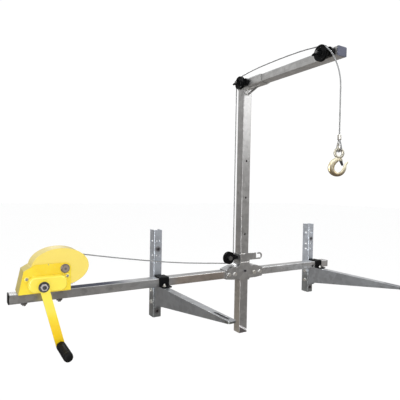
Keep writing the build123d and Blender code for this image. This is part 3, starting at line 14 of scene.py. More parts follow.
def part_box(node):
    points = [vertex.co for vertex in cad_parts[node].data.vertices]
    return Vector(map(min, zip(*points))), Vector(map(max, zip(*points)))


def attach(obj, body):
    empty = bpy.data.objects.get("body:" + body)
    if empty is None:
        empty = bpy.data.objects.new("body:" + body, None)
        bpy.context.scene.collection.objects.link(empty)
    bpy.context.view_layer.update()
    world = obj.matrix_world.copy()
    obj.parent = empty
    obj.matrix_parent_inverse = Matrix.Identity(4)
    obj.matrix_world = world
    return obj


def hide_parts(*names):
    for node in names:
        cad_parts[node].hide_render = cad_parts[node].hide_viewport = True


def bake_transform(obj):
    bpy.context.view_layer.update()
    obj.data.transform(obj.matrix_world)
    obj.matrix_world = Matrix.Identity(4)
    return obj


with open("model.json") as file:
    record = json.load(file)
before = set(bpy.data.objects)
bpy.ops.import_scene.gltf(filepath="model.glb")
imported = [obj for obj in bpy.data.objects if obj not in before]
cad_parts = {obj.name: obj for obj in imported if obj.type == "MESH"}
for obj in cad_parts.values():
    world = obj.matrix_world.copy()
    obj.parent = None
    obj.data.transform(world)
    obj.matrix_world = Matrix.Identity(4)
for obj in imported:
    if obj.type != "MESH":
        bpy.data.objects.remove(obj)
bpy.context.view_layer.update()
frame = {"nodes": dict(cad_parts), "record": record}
LOG = logging.getLogger("winch_crane")
MM = 0.001
Point = tuple[float, float, float]
Colour = tuple[float, float, float]
Piece = bpy.types.Object
Material = bpy.types.Material
TINY = 1e-9


class Body(Enum):
    """Rigid bodies that pieces ride on."""

    SUPPORT = "support"
    MAST = "mast"
    DRUM = "drum"
    GRIP = "grip"
    ROPE_END = "rope_end"
    HOOK = "hook"


class Axis(Enum):
    """Directions in which turned pieces point."""

    RIGHT = (1.0, 0.0, 0.0)
    LEFT = (-1.0, 0.0, 0.0)
    BACK = (0.0, 1.0, 0.0)
    FRONT = (0.0, -1.0, 0.0)
    UP = (0.0, 0.0, 1.0)
    DOWN = (0.0, 0.0, -1.0)


def corners(node: str) -> tuple[Vector, Vector]:
    """Lowest and highest corner of a CAD node's box."""
    low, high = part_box(node)
    return Vector(low), Vector(high)


def centre_of(node: str) -> Vector:
    """Middle of a CAD node's box."""
    low, high = corners(node)
    return (low + high) / 2


LEG_X = centre_of("right_wall_leg").x
POST_X = centre_of("post_tube").x
LOWER_PULLEY = centre_of("lower_pulley")
DRUM_AXLE = centre_of("rope_drum")
CRANK_NUT = centre_of("crank_nut")
ROPE_X = -68.0 * MM
ROPE_Y = -54.5 * MM
HANGING_Y = -574.0 * MM
HOOK_TURN = math.radians(69)
HOOK_FRAME = Matrix.Translation((ROPE_X, HANGING_Y, 0)) @ Matrix.Rotation(HOOK_TURN, 4, "Z")


class Wire:
    """A shader socket with arithmetic: an expression adds the Math nodes that it needs."""

    def __init__(self, graph: "Graph", socket: bpy.types.NodeSocket) -> None:
        """Keeps the graph that the socket belongs to."""
        self.graph = graph
        self.socket = socket

    def _math(self, operation: str, first: "Wire | float", second: "Wire | float") -> "Wire":
        """Adds one Math node on two values."""
        return self.graph.node("ShaderNodeMath", {"operation": operation}, {0: first, 1: second})

    def __add__(self, other: "Wire | float") -> "Wire":
        """Sum."""
        return self._math("ADD", self, other)

    __radd__ = __add__

    def __mul__(self, other: "Wire | float") -> "Wire":
        """Product."""
        return self._math("MULTIPLY", self, other)

    __rmul__ = __mul__

    def __sub__(self, other: "Wire | float") -> "Wire":
        """Difference."""
        return self._math("SUBTRACT", self, other)

    def __rsub__(self, other: "Wire | float") -> "Wire":
        """Difference from a number."""
        return self._math("SUBTRACT", other, self)

    def __pow__(self, other: "Wire | float") -> "Wire":
        """Power."""
        return self._math("POWER", self, other)

    def __abs__(self) -> "Wire":
        """Distance from zero."""
        return self._math("ABSOLUTE", self, 0.0)

    def sine(self) -> "Wire":
        """Sine of an angle in radians."""
        return self._math("SINE", self, 0.0)

    def across(self, other: "Wire") -> "Wire":
        """Distance that two distances at right angles make up."""
        return (self**2.0 + other**2.0) ** 0.5

    def step(self, low: float, high: float) -> "Wire":
        """Smooth step from 0 at low to 1 at high."""
        settings = {"interpolation_type": "SMOOTHSTEP"}
        return self.graph.node("ShaderNodeMapRange", settings, {0: self, 1: low, 2: high, 3: 0.0, 4: 1.0})

    def past(self, low: float, high: float) -> "Wire":
        """Share of the places past a line, which fades in from low to high in millimetres."""
        return self.step(low * MM, high * MM)

    def before(self, low: float, high: float) -> "Wire":
        """Share of the places before a line, which fades out from low to high in millimetres."""
        return 1.0 - self.past(low, high)


class Graph:
    """A node tree that wires are drawn in."""

    def __init__(self, tree: bpy.types.NodeTree) -> None:
        """Keeps the tree."""
        self.tree = tree

    def node(self, kind: str, settings: dict, inputs: dict, output: int | str = 0) -> Wire:
        """Adds any node.

        Args:
            kind: the node's type.
            settings: attributes that are set first.
            inputs: values or wires by socket name or number.
            output: the socket that the returned wire reads.
        Returns:
            The wire of that output.
        """
        made = self.tree.nodes.new(kind)
        for key, value in settings.items():
            setattr(made, key, value)
        for key, value in inputs.items():
            self.feed(made.inputs[key], value)
        return Wire(self, made.outputs[output])

    def feed(self, socket: bpy.types.NodeSocket, value: object) -> None:
        """Links a wire into a socket, or sets the socket's own value.

        Args:
            socket: the input.
            value: a wire, a number or a colour.
        """
        if isinstance(value, Wire):
            self.tree.links.new(value.socket, socket)
        else:
            socket.default_value = value

    def mix(self, factor: Wire | float, first: Wire | Colour, second: Wire | Colour) -> Wire:
        """Colour between two colours."""
        ends = [(*end, 1.0) if isinstance(end, tuple) else end for end in (first, second)]
        return self.node("ShaderNodeMix", {"data_type": "RGBA"}, {0: factor, 6: ends[0], 7: ends[1]}, 2)

    def layered(self, colour: Wire | Colour, *layers: tuple[Wire, Wire | Colour]) -> Wire:
        """Covers a colour with others in turn.

        Args:
            colour: the base colour.
            layers: each layer's share, from place to place, and its colour.
        Returns:
            The colour on top.
        """
        for share, tint in layers:
            colour = self.mix(share, colour, tint)
        return colour

    def scaled(self, colour: Wire, gain: Wire | float) -> Wire:
        """Colour lightened or darkened by a gain."""
        return self.node("ShaderNodeVectorMath", {"operation": "SCALE"}, {0: colour, "Scale": gain})


class Shader(Graph):
    """One material's node tree, with a Principled surface."""

    def __init__(self, name: str) -> None:
        """Starts an empty tree that holds only the surface and the output.

        Args:
            name: the material's name.
        """
        self.material = bpy.data.materials.new(name)
        self.material.use_nodes = True
        super().__init__(self.material.node_tree)
        self.tree.nodes.clear()
        output = self.tree.nodes.new("ShaderNodeOutputMaterial")
        self.surface = self.tree.nodes.new("ShaderNodeBsdfPrincipled")
        self.tree.links.new(self.surface.outputs[0], output.inputs[0])

    def place(self) -> Wire:
        """Object coordinates, which are the crane's own in metres."""
        return self.node("ShaderNodeTexCoord", {}, {}, "Object")

    def stretched(self, scale: Point) -> Wire:
        """Object coordinates scaled along each axis."""
        return self.node("ShaderNodeMapping", {}, {"Vector": self.place(), "Scale": scale})

    def axes(self, names: str = "XYZ") -> list[Wire]:
        """Coordinates of the place, one for each letter."""
        return [self.node("ShaderNodeSeparateXYZ", {}, {0: self.place()}, name) for name in names]

    def noise(self, scale: float, detail: float = 3.0, vector: Wire | None = None) -> Wire:
        """Cloudy value from 0 to 1."""
        inputs = {"Vector": vector or self.place(), "Scale": scale, "Detail": detail}
        return self.node("ShaderNodeTexNoise", {}, inputs)

    def cells(self, scale: float) -> Wire:
        """Value that is the same over each random cell."""
        made = self.node("ShaderNodeTexVoronoi", {}, {"Vector": self.place(), "Scale": scale}, "Color")
        return self.node("ShaderNodeSeparateColor", {}, {0: made})

    def attribute(self, name: str) -> Wire:
        """Number kept on the mesh's points."""
        return self.node("ShaderNodeAttribute", {"attribute_name": name}, {}, "Fac")

    def soft_edges(self, radius: float) -> Wire:
        """Normal that rounds sharp edges."""
        return self.node("ShaderNodeBevel", {"samples": 4}, {"Radius": radius})

    def relief(self, height: Wire, strength: float, depth: float, edge: float = 0.0) -> Wire:
        """Normal of a bumpy surface.

        Args:
            height: the bumps.
            strength: how much they show.
            depth: their height in metres.
            edge: radius to which sharp edges are rounded, or nought.
        Returns:
            The normal's wire.
        """
        inputs = {"Height": height, "Strength": strength, "Distance": depth}
        if edge:
            inputs["Normal"] = self.soft_edges(edge)
        return self.node("ShaderNodeBump", {}, inputs)

    def finish(self, **sockets: object) -> Material:
        """Feeds the surface.

        Args:
            sockets: values or wires by socket name, with underscores for spaces.
        Returns:
            The finished material.
        """
        for name, value in sockets.items():
            self.feed(self.surface.inputs[name.replace("_", " ")], value)
        return self.material


def toned(colour: Colour, gain: float) -> Colour:
    """Colour lightened or darkened by a gain."""
    return tuple(min(channel * gain, 1.0) for channel in colour)


@dataclass(frozen=True)
class Galvanised:
    """Hot-dip galvanised steel with faint spangle, clouds and rolling lines, with painted shade and painted
    light from place to place.
    """

    name: str = "galvanised"
    colour: Colour = (0.435, 0.435, 0.435)
    jib_colour: Colour = (0.53, 0.53, 0.525)
    # Painted shade on the arms' sides, and painted light on the arms' tops.
    arm_shade: Colour = (0.365, 0.385, 0.41)
    arm_top_light: Colour = (0.58, 0.62, 0.69)
    leg_colour: Colour = (0.60, 0.65, 0.72)
    # Painted shade on the lower legs, under the arms, and on the arm tips, where it dims their highlight.
    deep_shade: Colour = (0.17, 0.175, 0.16)
    # Painted brownish shade on the beam's front face.
    beam_front_shade: Colour = (0.43, 0.33, 0.25)
    # Painted warm light on the lower part of the post's left face.
    flank_light: Colour = (0.62, 0.56, 0.47)
    # Painted shade round the anchor holes and below the cut in the post's foot.
    dark_shade: Colour = (0.17, 0.155, 0.16)
    stained: Colour = (0.30, 0.275, 0.24)
    # Painted highlight on the lips of the cut in the post's foot.
    pale_highlight: Colour = (0.93, 0.91, 0.92)
    # Painted dark shade on the beam's top by the winch.
    dusty_and_shaded: Colour = (0.028, 0.032, 0.06)
    spangle: float = 60.0
    metal: float = 0.88
    gloss: float = 0.30
    anchor_z: float = 116.0 * MM
    # Slope and drop of the line below which the post's foot is painted in shade.
    shade_slope: float = 0.676
    shade_drop: float = 252.4 * MM
    cut_slope: float = 0.575
    cut_drop: float = 244.6 * MM

    def tones_and_shade(self, shader: Shader) -> Wire:
        """Works out the colour of the zinc from place to place.

        Args:
            shader: the material's graph.
        Returns:
            The colour with a pale jib and bluish legs, painted shade on the arms' sides, the arm tips, the
            lower legs, round the anchor holes, on the beam's front and below the post's cut, and painted
            light on the arms' tops and the post's left face; lighter towards the right.
        """
        x, y, z = shader.axes()
        bracket = abs(abs(x) - LEG_X).before(24, 28)
        front = y.before(-39.5, -38.2)
        arm = bracket * z.before(-16, -14.6) * front
        # The arm tips are painted in shade to dim their highlight.
        tip = bracket * y.before(-497, -490) * z.before(-17.5, -16)
        leg = bracket * (1.0 - front)
        anchor = (abs(x) - LEG_X).across(abs(z) - self.anchor_z).before(7, 13)
        foremost = y.before(-78.8, -78.2)
        beam = x.past(-370, -330) * x.before(-140, -120) * abs(z).before(17, 18)
        post = abs(x - POST_X).before(20.2, 20.8)
        flank = post * x.before(-47.9, -47.2) * z.before(-200, 200)
        below_cut = (z + self.shade_slope * x + self.shade_drop).before(-0.5, 0.5)
        # The jib's and legs' own tones, with painted shade and painted light over them.
        colour = shader.layered(
            self.colour,
            (z.past(740, 760), self.jib_colour),
            # Painted shade on the arms' sides, then painted light on their tops.
            (arm, self.arm_shade),
            (arm * z.past(-15.4, -15.1), self.arm_top_light),
            # Painted shade on the arm tips.
            (tip * 0.8, self.deep_shade),
            (leg, self.leg_colour),
            # Painted shade on the lower legs, under the arms.
            (leg * z.before(-75, 5) * 0.75, self.deep_shade),
            # Painted shade round the anchor holes.
            (leg * anchor * 0.75, self.dark_shade),
            # Painted brownish shade on the beam's front face.
            (beam * foremost * 0.5, self.beam_front_shade),
            # Painted warm light on the lower part of the post's left face.
            (flank * 0.6, self.flank_light),
            # Painted shade below the cut in the post's foot.
            (below_cut * post * foremost * 0.8, self.dark_shade),
        )
        # Lightens the zinc towards the right.
        return shader.scaled(colour, 0.96 + 0.26 * x.past(-100, 300))

    def cut_highlight(self, shader: Shader) -> Wire:
        """Works out where a painted highlight lies: the lips of the slanted cut in the post's foot, which are
        made pale and not metallic.

        Args:
            shader: the material's graph.
        Returns:
            One on the cut's lips and nought elsewhere.
        """
        x, y, z = shader.axes()
        lips = abs(z + self.cut_slope * x + self.cut_drop).before(3, 4)
        wall = x.past(-47.4, -46.6) * x.before(-8, -7.8) * y.before(-73, -72)
        return lips * wall * z.before(-210, -205)

    def dust_and_shade(self, shader: Shader) -> Wire:
        """Works out where painted shade lies on the beam's top, under the rope beside the winch, which is
        made dark, dull and not metallic.

        Args:
            shader: the material's graph.
        Returns:
            One near the winch, fading away along the beam.
        """
        x, z = shader.axes("XZ")
        top = z.past(13.9, 14.6) * z.before(16, 17)
        return top * x.past(-800, -700) * x.before(-620, -460)

    def build(self) -> Material:
        """Makes the material.

        Returns:
            The finished material.
        """
        shader = Shader(self.name)
        grain = shader.noise(7.0, 4.0)
        flake = shader.cells(self.spangle)
        lines = shader.noise(160.0, 2.0, shader.stretched((0.06, 0.06, 1.0)))
        tone = 0.45 * grain + 0.3 * flake + 0.25 * lines
        stain = shader.noise(2.3, 5.0).step(0.56, 0.74)
        blotch = shader.noise(46.0, 6.0).step(0.60, 0.72)
        # Painted highlight on the lips of the cut in the post's foot.
        cut_highlight = self.cut_highlight(shader)
        # Painted shade on the beam's top by the winch.
        dust_and_shade = self.dust_and_shade(shader)
        colour = shader.scaled(self.tones_and_shade(shader), 0.88 + 0.24 * tone.step(0.25, 0.75))
        colour = shader.scaled(shader.mix(stain * 0.35, colour, self.stained), 1.0 - 0.2 * blotch)
        # Painted highlight on the cut's lips, then painted shade on the beam's top by the winch.
        colour = shader.layered(colour, (cut_highlight, self.pale_highlight), (dust_and_shade, self.dusty_and_shaded))
        metallic = self.metal * (1.0 - cut_highlight - dust_and_shade)
        rough = self.gloss - 0.06 + 0.16 * tone + 0.6 * dust_and_shade
        skin = shader.noise(1400.0, 2.0) * 0.6 + flake * 0.4
        normal = shader.relief(skin, 0.10, depth=0.6 * MM, edge=1.1 * MM)
        return shader.finish(Base_Color=colour, Metallic=metallic, Roughness=rough, Normal=normal)


@dataclass(frozen=True)
class BrightZinc:
    """Zinc-plated hardware with a faint haze, handling marks and tarnish here and there, with painted shade
    in a few places and a painted highlight on the crank nut.
    """

    name: str = "zinc"
    colour: Colour = (0.78, 0.78, 0.77)
    hazed: Colour = (0.70, 0.68, 0.62)
    # Painted shade on the lower pulley's axle, on bolt ends under the beam, on a thread end at the jib's top
    # and in rings on the drum's axle head.
    grease_and_shade: Colour = (0.10, 0.10, 0.105)
    tarnish: Colour = (0.70, 0.55, 0.46)
    # Painted highlight on the crank nut's face.
    nut_highlight_tint: Colour = (0.66, 0.60, 0.61)

    def build(self) -> Material:
        """Makes the material.

        Returns:
            The finished material.
        """
        shader = Shader(self.name)
        x, y, z = shader.axes()
        haze = shader.noise(55.0, 3.0)
        marks = shader.noise(420.0, 5.0).step(0.58, 0.70)
        lower_axle = abs(x - LOWER_PULLEY.x).before(14, 15) * abs(z - LOWER_PULLEY.z).before(14, 15)
        under_winch = z.before(-15, -14) * x.before(-610, -600)
        thread_end = x.before(-75, -74) * z.past(740, 750)
        from_drum = (x - DRUM_AXLE.x).across(z - DRUM_AXLE.z)
        drum_head = from_drum.before(17, 18)
        rings = from_drum.past(9.5, 11) + from_drum.before(3, 4.5)
        # Painted highlight on the crank nut's face, which is also made partly not metallic.
        nut_highlight = (x - CRANK_NUT.x).across(z - CRANK_NUT.z).before(11, 13) * y.before(-110, -100)
        colour = shader.layered(
            self.colour,
            (haze.step(0.35, 0.68), self.hazed),
            (marks * 0.4, toned(self.colour, 0.6)),
            # Painted shade on the lower axle, under the beam and on the thread end at the jib's top.
            ((lower_axle + under_winch + thread_end) * 0.85, self.grease_and_shade),
            (drum_head * 0.6, self.tarnish),
            # Painted shade in rings on the drum's axle head.
            (drum_head * rings * 0.55, self.grease_and_shade),
            # Painted highlight on the crank nut.
            (nut_highlight * 0.8, self.nut_highlight_tint),
        )
        rough = 0.24 + 0.18 * haze + 0.14 * marks
        normal = shader.relief(shader.noise(1800.0, 2.0), 0.07, depth=0.4 * MM, edge=0.6 * MM)
        return shader.finish(Base_Color=colour, Metallic=1.0 - 0.65 * nut_highlight, Roughness=rough, Normal=normal)


@dataclass(frozen=True)
class Enamel:
    """Glossy enamel with orange peel: paler on the drum's cover, deepest on the crank's foot, with painted
    shade there and on the frame's left flank, and painted light on the crank's top.
    """

    name: str = "yellow"
    colour: Colour = (0.96, 0.77, 0.035)
    shade: Colour = (0.93, 0.66, 0.015)
    cover_pale: Colour = (0.92, 0.74, 0.17)
    # Lemon yellow, used on the raised brake cover and as painted light on the crank's top.
    lemon: Colour = (1.0, 0.86, 0.11)
    # Painted shade on the crank's foot.
    crank_foot_shade: Colour = (0.98, 0.64, 0.004)
    shaded: Colour = (0.60, 0.47, 0.025)
    dusty_and_shaded: Colour = (0.88, 0.74, 0.36)
    chipped: Colour = (0.34, 0.31, 0.27)
    cover_front: float = -95.8 * MM
    crank_back: float = -112.0 * MM
    frame_flank: float = -803.0 * MM
    frame_top: float = 96.0 * MM

    def build(self) -> Material:
        """Makes the material.

        Returns:
            The finished material.
        """
        shader = Shader(self.name)
        x, y, z = shader.axes()
        cloud = shader.noise(16.0, 3.0)
        dust_and_shade = shader.noise(130.0, 5.0).step(0.60, 0.78)
        chip = shader.noise(75.0, 6.0).step(0.735, 0.75)
        behind = (y - self.cover_front).past(-0.4, 0.4)
        flank = behind * (x - self.frame_flank).before(-3, 3) * (z - self.frame_top).before(-3, 3)
        crank = (y - self.crank_back).before(-1, 1)
        raised = (y - self.cover_front).before(-3, -2) * (1.0 - crank)
        colour = shader.layered(
            self.shade,
            (cloud.step(0.3, 0.72), self.colour),
            (behind * 0.8, self.cover_pale),
            (flank * 0.85, self.shaded),
            (raised * 0.6, self.lemon),
            # Painted light on the crank's top, then painted shade on its foot.
            (crank * z.past(-60, -30) * 0.7, self.lemon),
            (crank * z.before(-90, -50) * 0.8, self.crank_foot_shade),
            (dust_and_shade * 0.22, self.dusty_and_shaded),
            (chip, self.chipped),
        )
        rough = 0.26 + 0.12 * cloud + 0.25 * chip
        normal = shader.relief(shader.noise(520.0, 1.0) - 2.0 * chip, 0.10, depth=0.7 * MM, edge=1.6 * MM)
        return shader.finish(Base_Color=colour, Roughness=rough, Coat_Weight=0.6 - 0.5 * chip,
                             Coat_Roughness=0.08, Normal=normal)


@dataclass(frozen=True)
class PowderCoat:
    """Matt black powder coat with a fine texture, rubbed grey on a few spots."""

    name: str = "black_steel"
    colour: Colour = (0.005, 0.0052, 0.006)
    rubbed: Colour = (0.03, 0.03, 0.032)
    sheen: float = 0.08

    def build(self) -> Material:
        """Makes the material.

        Returns:
            The finished material.
        """
        shader = Shader(self.name)
        rub = shader.noise(38.0, 5.0).step(0.62, 0.78)
        colour = shader.mix(rub * 0.5, self.colour, self.rubbed)
        grain = shader.noise(900.0, 2.0)
        normal = shader.relief(grain, 0.30, depth=0.6 * MM, edge=0.9 * MM)
        rough = 0.44 + 0.12 * rub + 0.10 * grain
        return shader.finish(Base_Color=colour, Roughness=rough, Normal=normal, Specular_IOR_Level=self.sheen)


@dataclass(frozen=True)
class Moulded:
    """Moulded plastic or rubber with a spark-eroded skin."""

    name: str
    colour: Colour
    rough: float = 0.42
    grain: float = 1100.0
    relief: float = 0.18
    sheen: float = 0.10

    def build(self) -> Material:
        """Makes the material.

        Returns:
            The finished material.
        """
        shader = Shader(self.name)
        flow = shader.noise(24.0, 3.0)
        scuff = shader.noise(90.0, 6.0).step(0.62, 0.80)
        colour = shader.mix(flow.step(0.3, 0.7), toned(self.colour, 0.8), toned(self.colour, 1.35))
        colour = shader.mix(scuff * 0.25, colour, toned(self.colour, 2.6))
        normal = shader.relief(shader.noise(self.grain, 2.0), self.relief, depth=0.5 * MM, edge=0.8 * MM)
        rough = self.rough + 0.14 * scuff + 0.08 * flow
        return shader.finish(Base_Color=colour, Roughness=rough, Normal=normal, Specular_IOR_Level=self.sheen)


@dataclass(frozen=True)
class WireRopeSteel:
    """Drawn wire: painted highlights on the crowns and painted shade in the grooves between the strands and
    their wires, dimmed by grease here and there.
    """

    name: str = "rope"
    colour: Colour = (0.46, 0.465, 0.47)
    # Painted shade in the grooves between the strands.
    groove: Colour = (0.20, 0.20, 0.205)

    def build(self) -> Material:
        """Makes the material.

        Returns:
            The finished material.
        """
        shader = Shader(self.name)
        wires = (shader.attribute("wire") * (2 * math.pi)).sine() * 0.5 + 0.5
        grease_and_shade = shader.noise(60.0, 4.0).step(0.42, 0.72)
        # Painted highlights on the crowns of the strands and their wires, painted shade in the grooves
        # between them.
        light = shader.attribute("crown") * (0.70 + 0.30 * wires) * (1.0 - 0.35 * grease_and_shade)
        colour = shader.mix(light, self.groove, toned(self.colour, 1.2))
        normal = shader.relief(wires, 0.35, depth=0.2 * MM)
        return shader.finish(Base_Color=colour, Metallic=0.85, Roughness=0.52 - 0.16 * light, Normal=normal)


@dataclass(frozen=True)
class GoldZinc:
    """Yellow-passivated forging: pale gold with brown shadows and a cast skin."""

    name: str = "gold_zinc"
    colour: Colour = (0.82, 0.76, 0.57)
    bronze: Colour = (0.50, 0.38, 0.19)
    pale: Colour = (0.78, 0.75, 0.64)
    ring: Colour = (0.50, 0.485, 0.43)
    brown: Colour = (0.26, 0.19, 0.11)

    def build(self) -> Material:
        """Makes the material.

        Returns:
            The finished material.
        """
        shader = Shader(self.name)
        cloud = shader.noise(42.0, 4.0)
        (height,) = shader.axes("Z")
        colour = shader.layered(
            self.bronze,
            (cloud.step(0.32, 0.66), self.colour),
            (shader.noise(95.0, 3.0).step(0.52, 0.70) * 0.6, self.pale),
            (height.past(434, 446) * 0.8, self.ring),
            (height.before(388, 412) * 0.85, self.brown),
        )
        normal = shader.relief(shader.noise(360.0, 4.0), 0.22, depth=0.6 * MM)
        return shader.finish(Base_Color=colour, Metallic=0.95, Roughness=0.24 + 0.16 * cloud, Normal=normal)


@dataclass(frozen=True)
class DarkSteel:
    """Oiled steel with machining marks."""

    name: str = "dark_steel"
    colour: Colour = (0.075, 0.075, 0.08)

    def build(self) -> Material:
        """Makes the material.

        Returns:
            The finished material.
        """
        shader = Shader(self.name)
        oil = shader.noise(80.0, 4.0)
        colour = shader.mix(oil.step(0.35, 0.7), self.colour, toned(self.colour, 2.4))
        marks = shader.noise(700.0, 2.0, shader.stretched((1.0, 0.1, 1.0)))
        normal = shader.relief(marks, 0.12, depth=0.4 * MM, edge=0.5 * MM)
        return shader.finish(Base_Color=colour, Metallic=0.9, Roughness=0.30 + 0.22 * oil, Normal=normal)


@dataclass(frozen=True)
class WeldBead:
    """Cold-galvanised weld: light ripples with a brown heat line."""

    name: str = "weld"
    colour: Colour = (0.84, 0.84, 0.82)
    burnt: Colour = (0.34, 0.27, 0.20)

    def build(self) -> Material:
        """Makes the material.

        Returns:
            The finished material.
        """
        shader = Shader(self.name)
        burn = shader.noise(150.0, 4.0)
        colour = shader.mix(burn.step(0.50, 0.72), self.colour, self.burnt)
        normal = shader.relief(shader.noise(600.0, 3.0), 0.25, depth=0.5 * MM)
        return shader.finish(Base_Color=colour, Metallic=0.7, Roughness=0.34 + 0.2 * burn, Normal=normal)


@dataclass(frozen=True)
class StudioFloor:
    """Pale seamless paper."""

    name: str = "floor_paper"
    colour: Colour = (0.97, 0.97, 0.97)

    def build(self) -> Material:
        """Makes the material.

        Returns:
            The finished material.
        """
        shader = Shader(self.name)
        fibre = shader.noise(30.0, 4.0)
        colour = shader.mix(fibre, toned(self.colour, 0.99), toned(self.colour, 1.01))
        return shader.finish(Base_Color=colour, Roughness=0.9)


FINISHES = (
    Galvanised(),
    BrightZinc(),
    PowderCoat(),
    Moulded("black_nylon", (0.004, 0.004, 0.0045), 0.36),
    Enamel(),
    WireRopeSteel(),
    GoldZinc(),
    Moulded("grey_plastic", (0.07, 0.075, 0.11), 0.45, sheen=0.3),
    Moulded("grip_rubber", (0.005, 0.005, 0.005), 0.5, 700.0, 0.35, 0.11),
    DarkSteel(),
    Moulded("friction", (0.11, 0.07, 0.045), 0.8, 500.0, 0.5),
    WeldBead(),
)
MATERIALS = {finish.name: finish.build() for finish in FINISHES}


class Bench:
    """Edit-mode tools that shape one mesh at a time."""

    @staticmethod
    def pick(*pieces: Piece) -> None:
        """Leaves edit mode and selects these pieces alone.

        Args:
            pieces: what is selected, with the active piece first.
        """
        if bpy.context.object and bpy.context.object.mode != "OBJECT":
            bpy.ops.object.mode_set(mode="OBJECT")
        bpy.ops.object.select_all(action="DESELECT")
        for piece in pieces:
            piece.select_set(True)
        if pieces:
            bpy.context.view_layer.objects.active = pieces[0]

    @staticmethod
    def settled() -> Piece:
        """Moves a new primitive's place and turn into its mesh, and returns it."""
        bpy.ops.object.transform_apply(location=True, rotation=True, scale=True)
        return bpy.context.object

    @staticmethod
    def turned(profile: Sequence[tuple[float, float]], sides: int = 40) -> Piece:
        """Turns a closed piece along +Z from the origin.

        Args:
            profile: height and radius of each ring, from one end to the other.
            sides: points round each ring.
        Returns:
            The object, with both ends capped.
        """
        Bench.pick()
        height, radius = profile[0]
        bpy.ops.mesh.primitive_circle_add(vertices=sides, radius=radius, location=(0, 0, height),
                                          enter_editmode=True)
        bpy.ops.mesh.select_all(action="SELECT")
        for next_height, next_radius in profile[1:]:
            lift = (0, 0, next_height - height)
            bpy.ops.mesh.extrude_region_move(TRANSFORM_OT_translate={"value": lift})
            grow = next_radius / radius
            bpy.ops.transform.resize(value=(grow, grow, 1), center_override=(0, 0, next_height))
            height, radius = next_height, next_radius
        bpy.ops.mesh.edge_face_add()
        bpy.ops.mesh.select_all(action="DESELECT")
        bpy.ops.mesh.select_non_manifold()
        bpy.ops.mesh.edge_face_add()
        bpy.ops.mesh.select_all(action="SELECT")
        bpy.ops.mesh.normals_make_consistent(inside=False)
        bpy.ops.object.mode_set(mode="OBJECT")
        return Bench.settled()

    @staticmethod
    def disc(radius: float, wall: float, rim: tuple[float, float], sides: int = 40) -> Piece:
        """Turns a disc with eased rims, which stands on the origin.

        Args:
            radius: its radius.
            wall: its thickness.
            rim: how high and how far in each eased rim goes.
            sides: points round it.
        Returns:
            The disc.
        """
        rise, inset = rim
        profile = [(0.0, radius - inset), (rise, radius), (wall - rise, radius), (wall, radius - inset)]
        return Bench.turned(profile, sides)

    @staticmethod
    def block(centre: Point, size: Point, round_edge: float) -> Piece:
        """Adds a block with rounded edges.

        Args:
            centre: its middle.
            size: its length along each axis.
            round_edge: radius of its edges.
        Returns:
            The block.
        """
        Bench.pick()
        bpy.ops.mesh.primitive_cube_add(size=1, location=centre, scale=size)
        made = Bench.settled()
        bpy.ops.object.mode_set(mode="EDIT")
        bpy.ops.mesh.select_all(action="SELECT")
        bpy.ops.mesh.bevel(offset=round_edge, segments=3, affect="EDGES")
        bpy.ops.object.mode_set(mode="OBJECT")
        return made

    @staticmethod
    def curve(points: Sequence[Sequence[float]], resolution: int) -> Piece:
        """Draws a smooth line.

        Args:
            points: X, Y and Z of each control point, and a tube's radius there.
            resolution: points that are drawn for each control point.
        Returns:
            The NURBS curve.
        """
        data = bpy.data.curves.new("line", "CURVE")
        data.dimensions = "3D"
        spline = data.splines.new("NURBS")
        spline.points.add(len(points) - 1)
        for slot, (x, y, z, *radius) in zip(spline.points, points):
            slot.co = (x, y, z, 1.0)
            if radius:
                slot.radius = radius[0]
        spline.order_u = 3
        spline.use_endpoint_u = True
        spline.resolution_u = resolution
        made = bpy.data.objects.new("line", data)
        bpy.context.scene.collection.objects.link(made)
        return made

    @staticmethod
    def tube(points: Sequence[Sequence[float]]) -> Piece:
        """Makes a mesh tube along a smooth line.

        Args:
            points: X, Y and Z of each control point, and the tube's radius there.
        Returns:
            The tube, with both ends capped.
        """
        curve = Bench.curve(points, 8)
        curve.data.bevel_depth = 1.0
        curve.data.bevel_resolution = 6
        curve.data.use_fill_caps = True
        Bench.pick(curve)
        bpy.ops.object.convert(target="MESH")
        return bpy.context.object

    @staticmethod
    def aim(piece: Piece, axis: Axis, foot: Sequence[float]) -> Piece:
        """Turns a piece that points along +Z, and moves its foot to a place.

        Args:
            piece: what is turned.
            axis: where it points afterwards.
            foot: where its origin goes.
        Returns:
            The same piece.
        """
        turn = Vector((0, 0, 1)).rotation_difference(Vector(axis.value)).to_matrix().to_4x4()
        piece.data.transform(Matrix.Translation(foot) @ turn)
        return piece

    @staticmethod
    def joined(pieces: Sequence[Piece]) -> Piece:
        """Joins pieces into the first of them.

        Args:
            pieces: what is joined.
        Returns:
            The first piece, with all the meshes.
        """
        Bench.pick(*pieces)
        bpy.ops.object.join()
        return bpy.context.object

    @staticmethod
    def apply(piece: Piece, kind: str, **settings: object) -> None:
        """Adds a modifier and applies it.

        Args:
            piece: what is modified.
            kind: the modifier's type.
            settings: the modifier's own settings.
        """
        Bench.pick(piece)
        modifier = piece.modifiers.new(kind.lower(), kind)
        for key, value in settings.items():
            setattr(modifier, key, value)
        bpy.ops.object.modifier_apply(modifier=modifier.name)

    @staticmethod
    def melted(pieces: Sequence[Piece], voxel: float, passes: int) -> Piece:
        """Melts overlapping pieces into one skin with soft corners.

        Args:
            pieces: what is melted together.
            voxel: size of the skin's finest detail.
            passes: how often the skin is smoothed.
        Returns:
            The skin.
        """
        piece = Bench.joined(pieces)
        Bench.apply(piece, "REMESH", mode="VOXEL", voxel_size=voxel)
        Bench.apply(piece, "SMOOTH", factor=0.5, iterations=passes)
        return piece

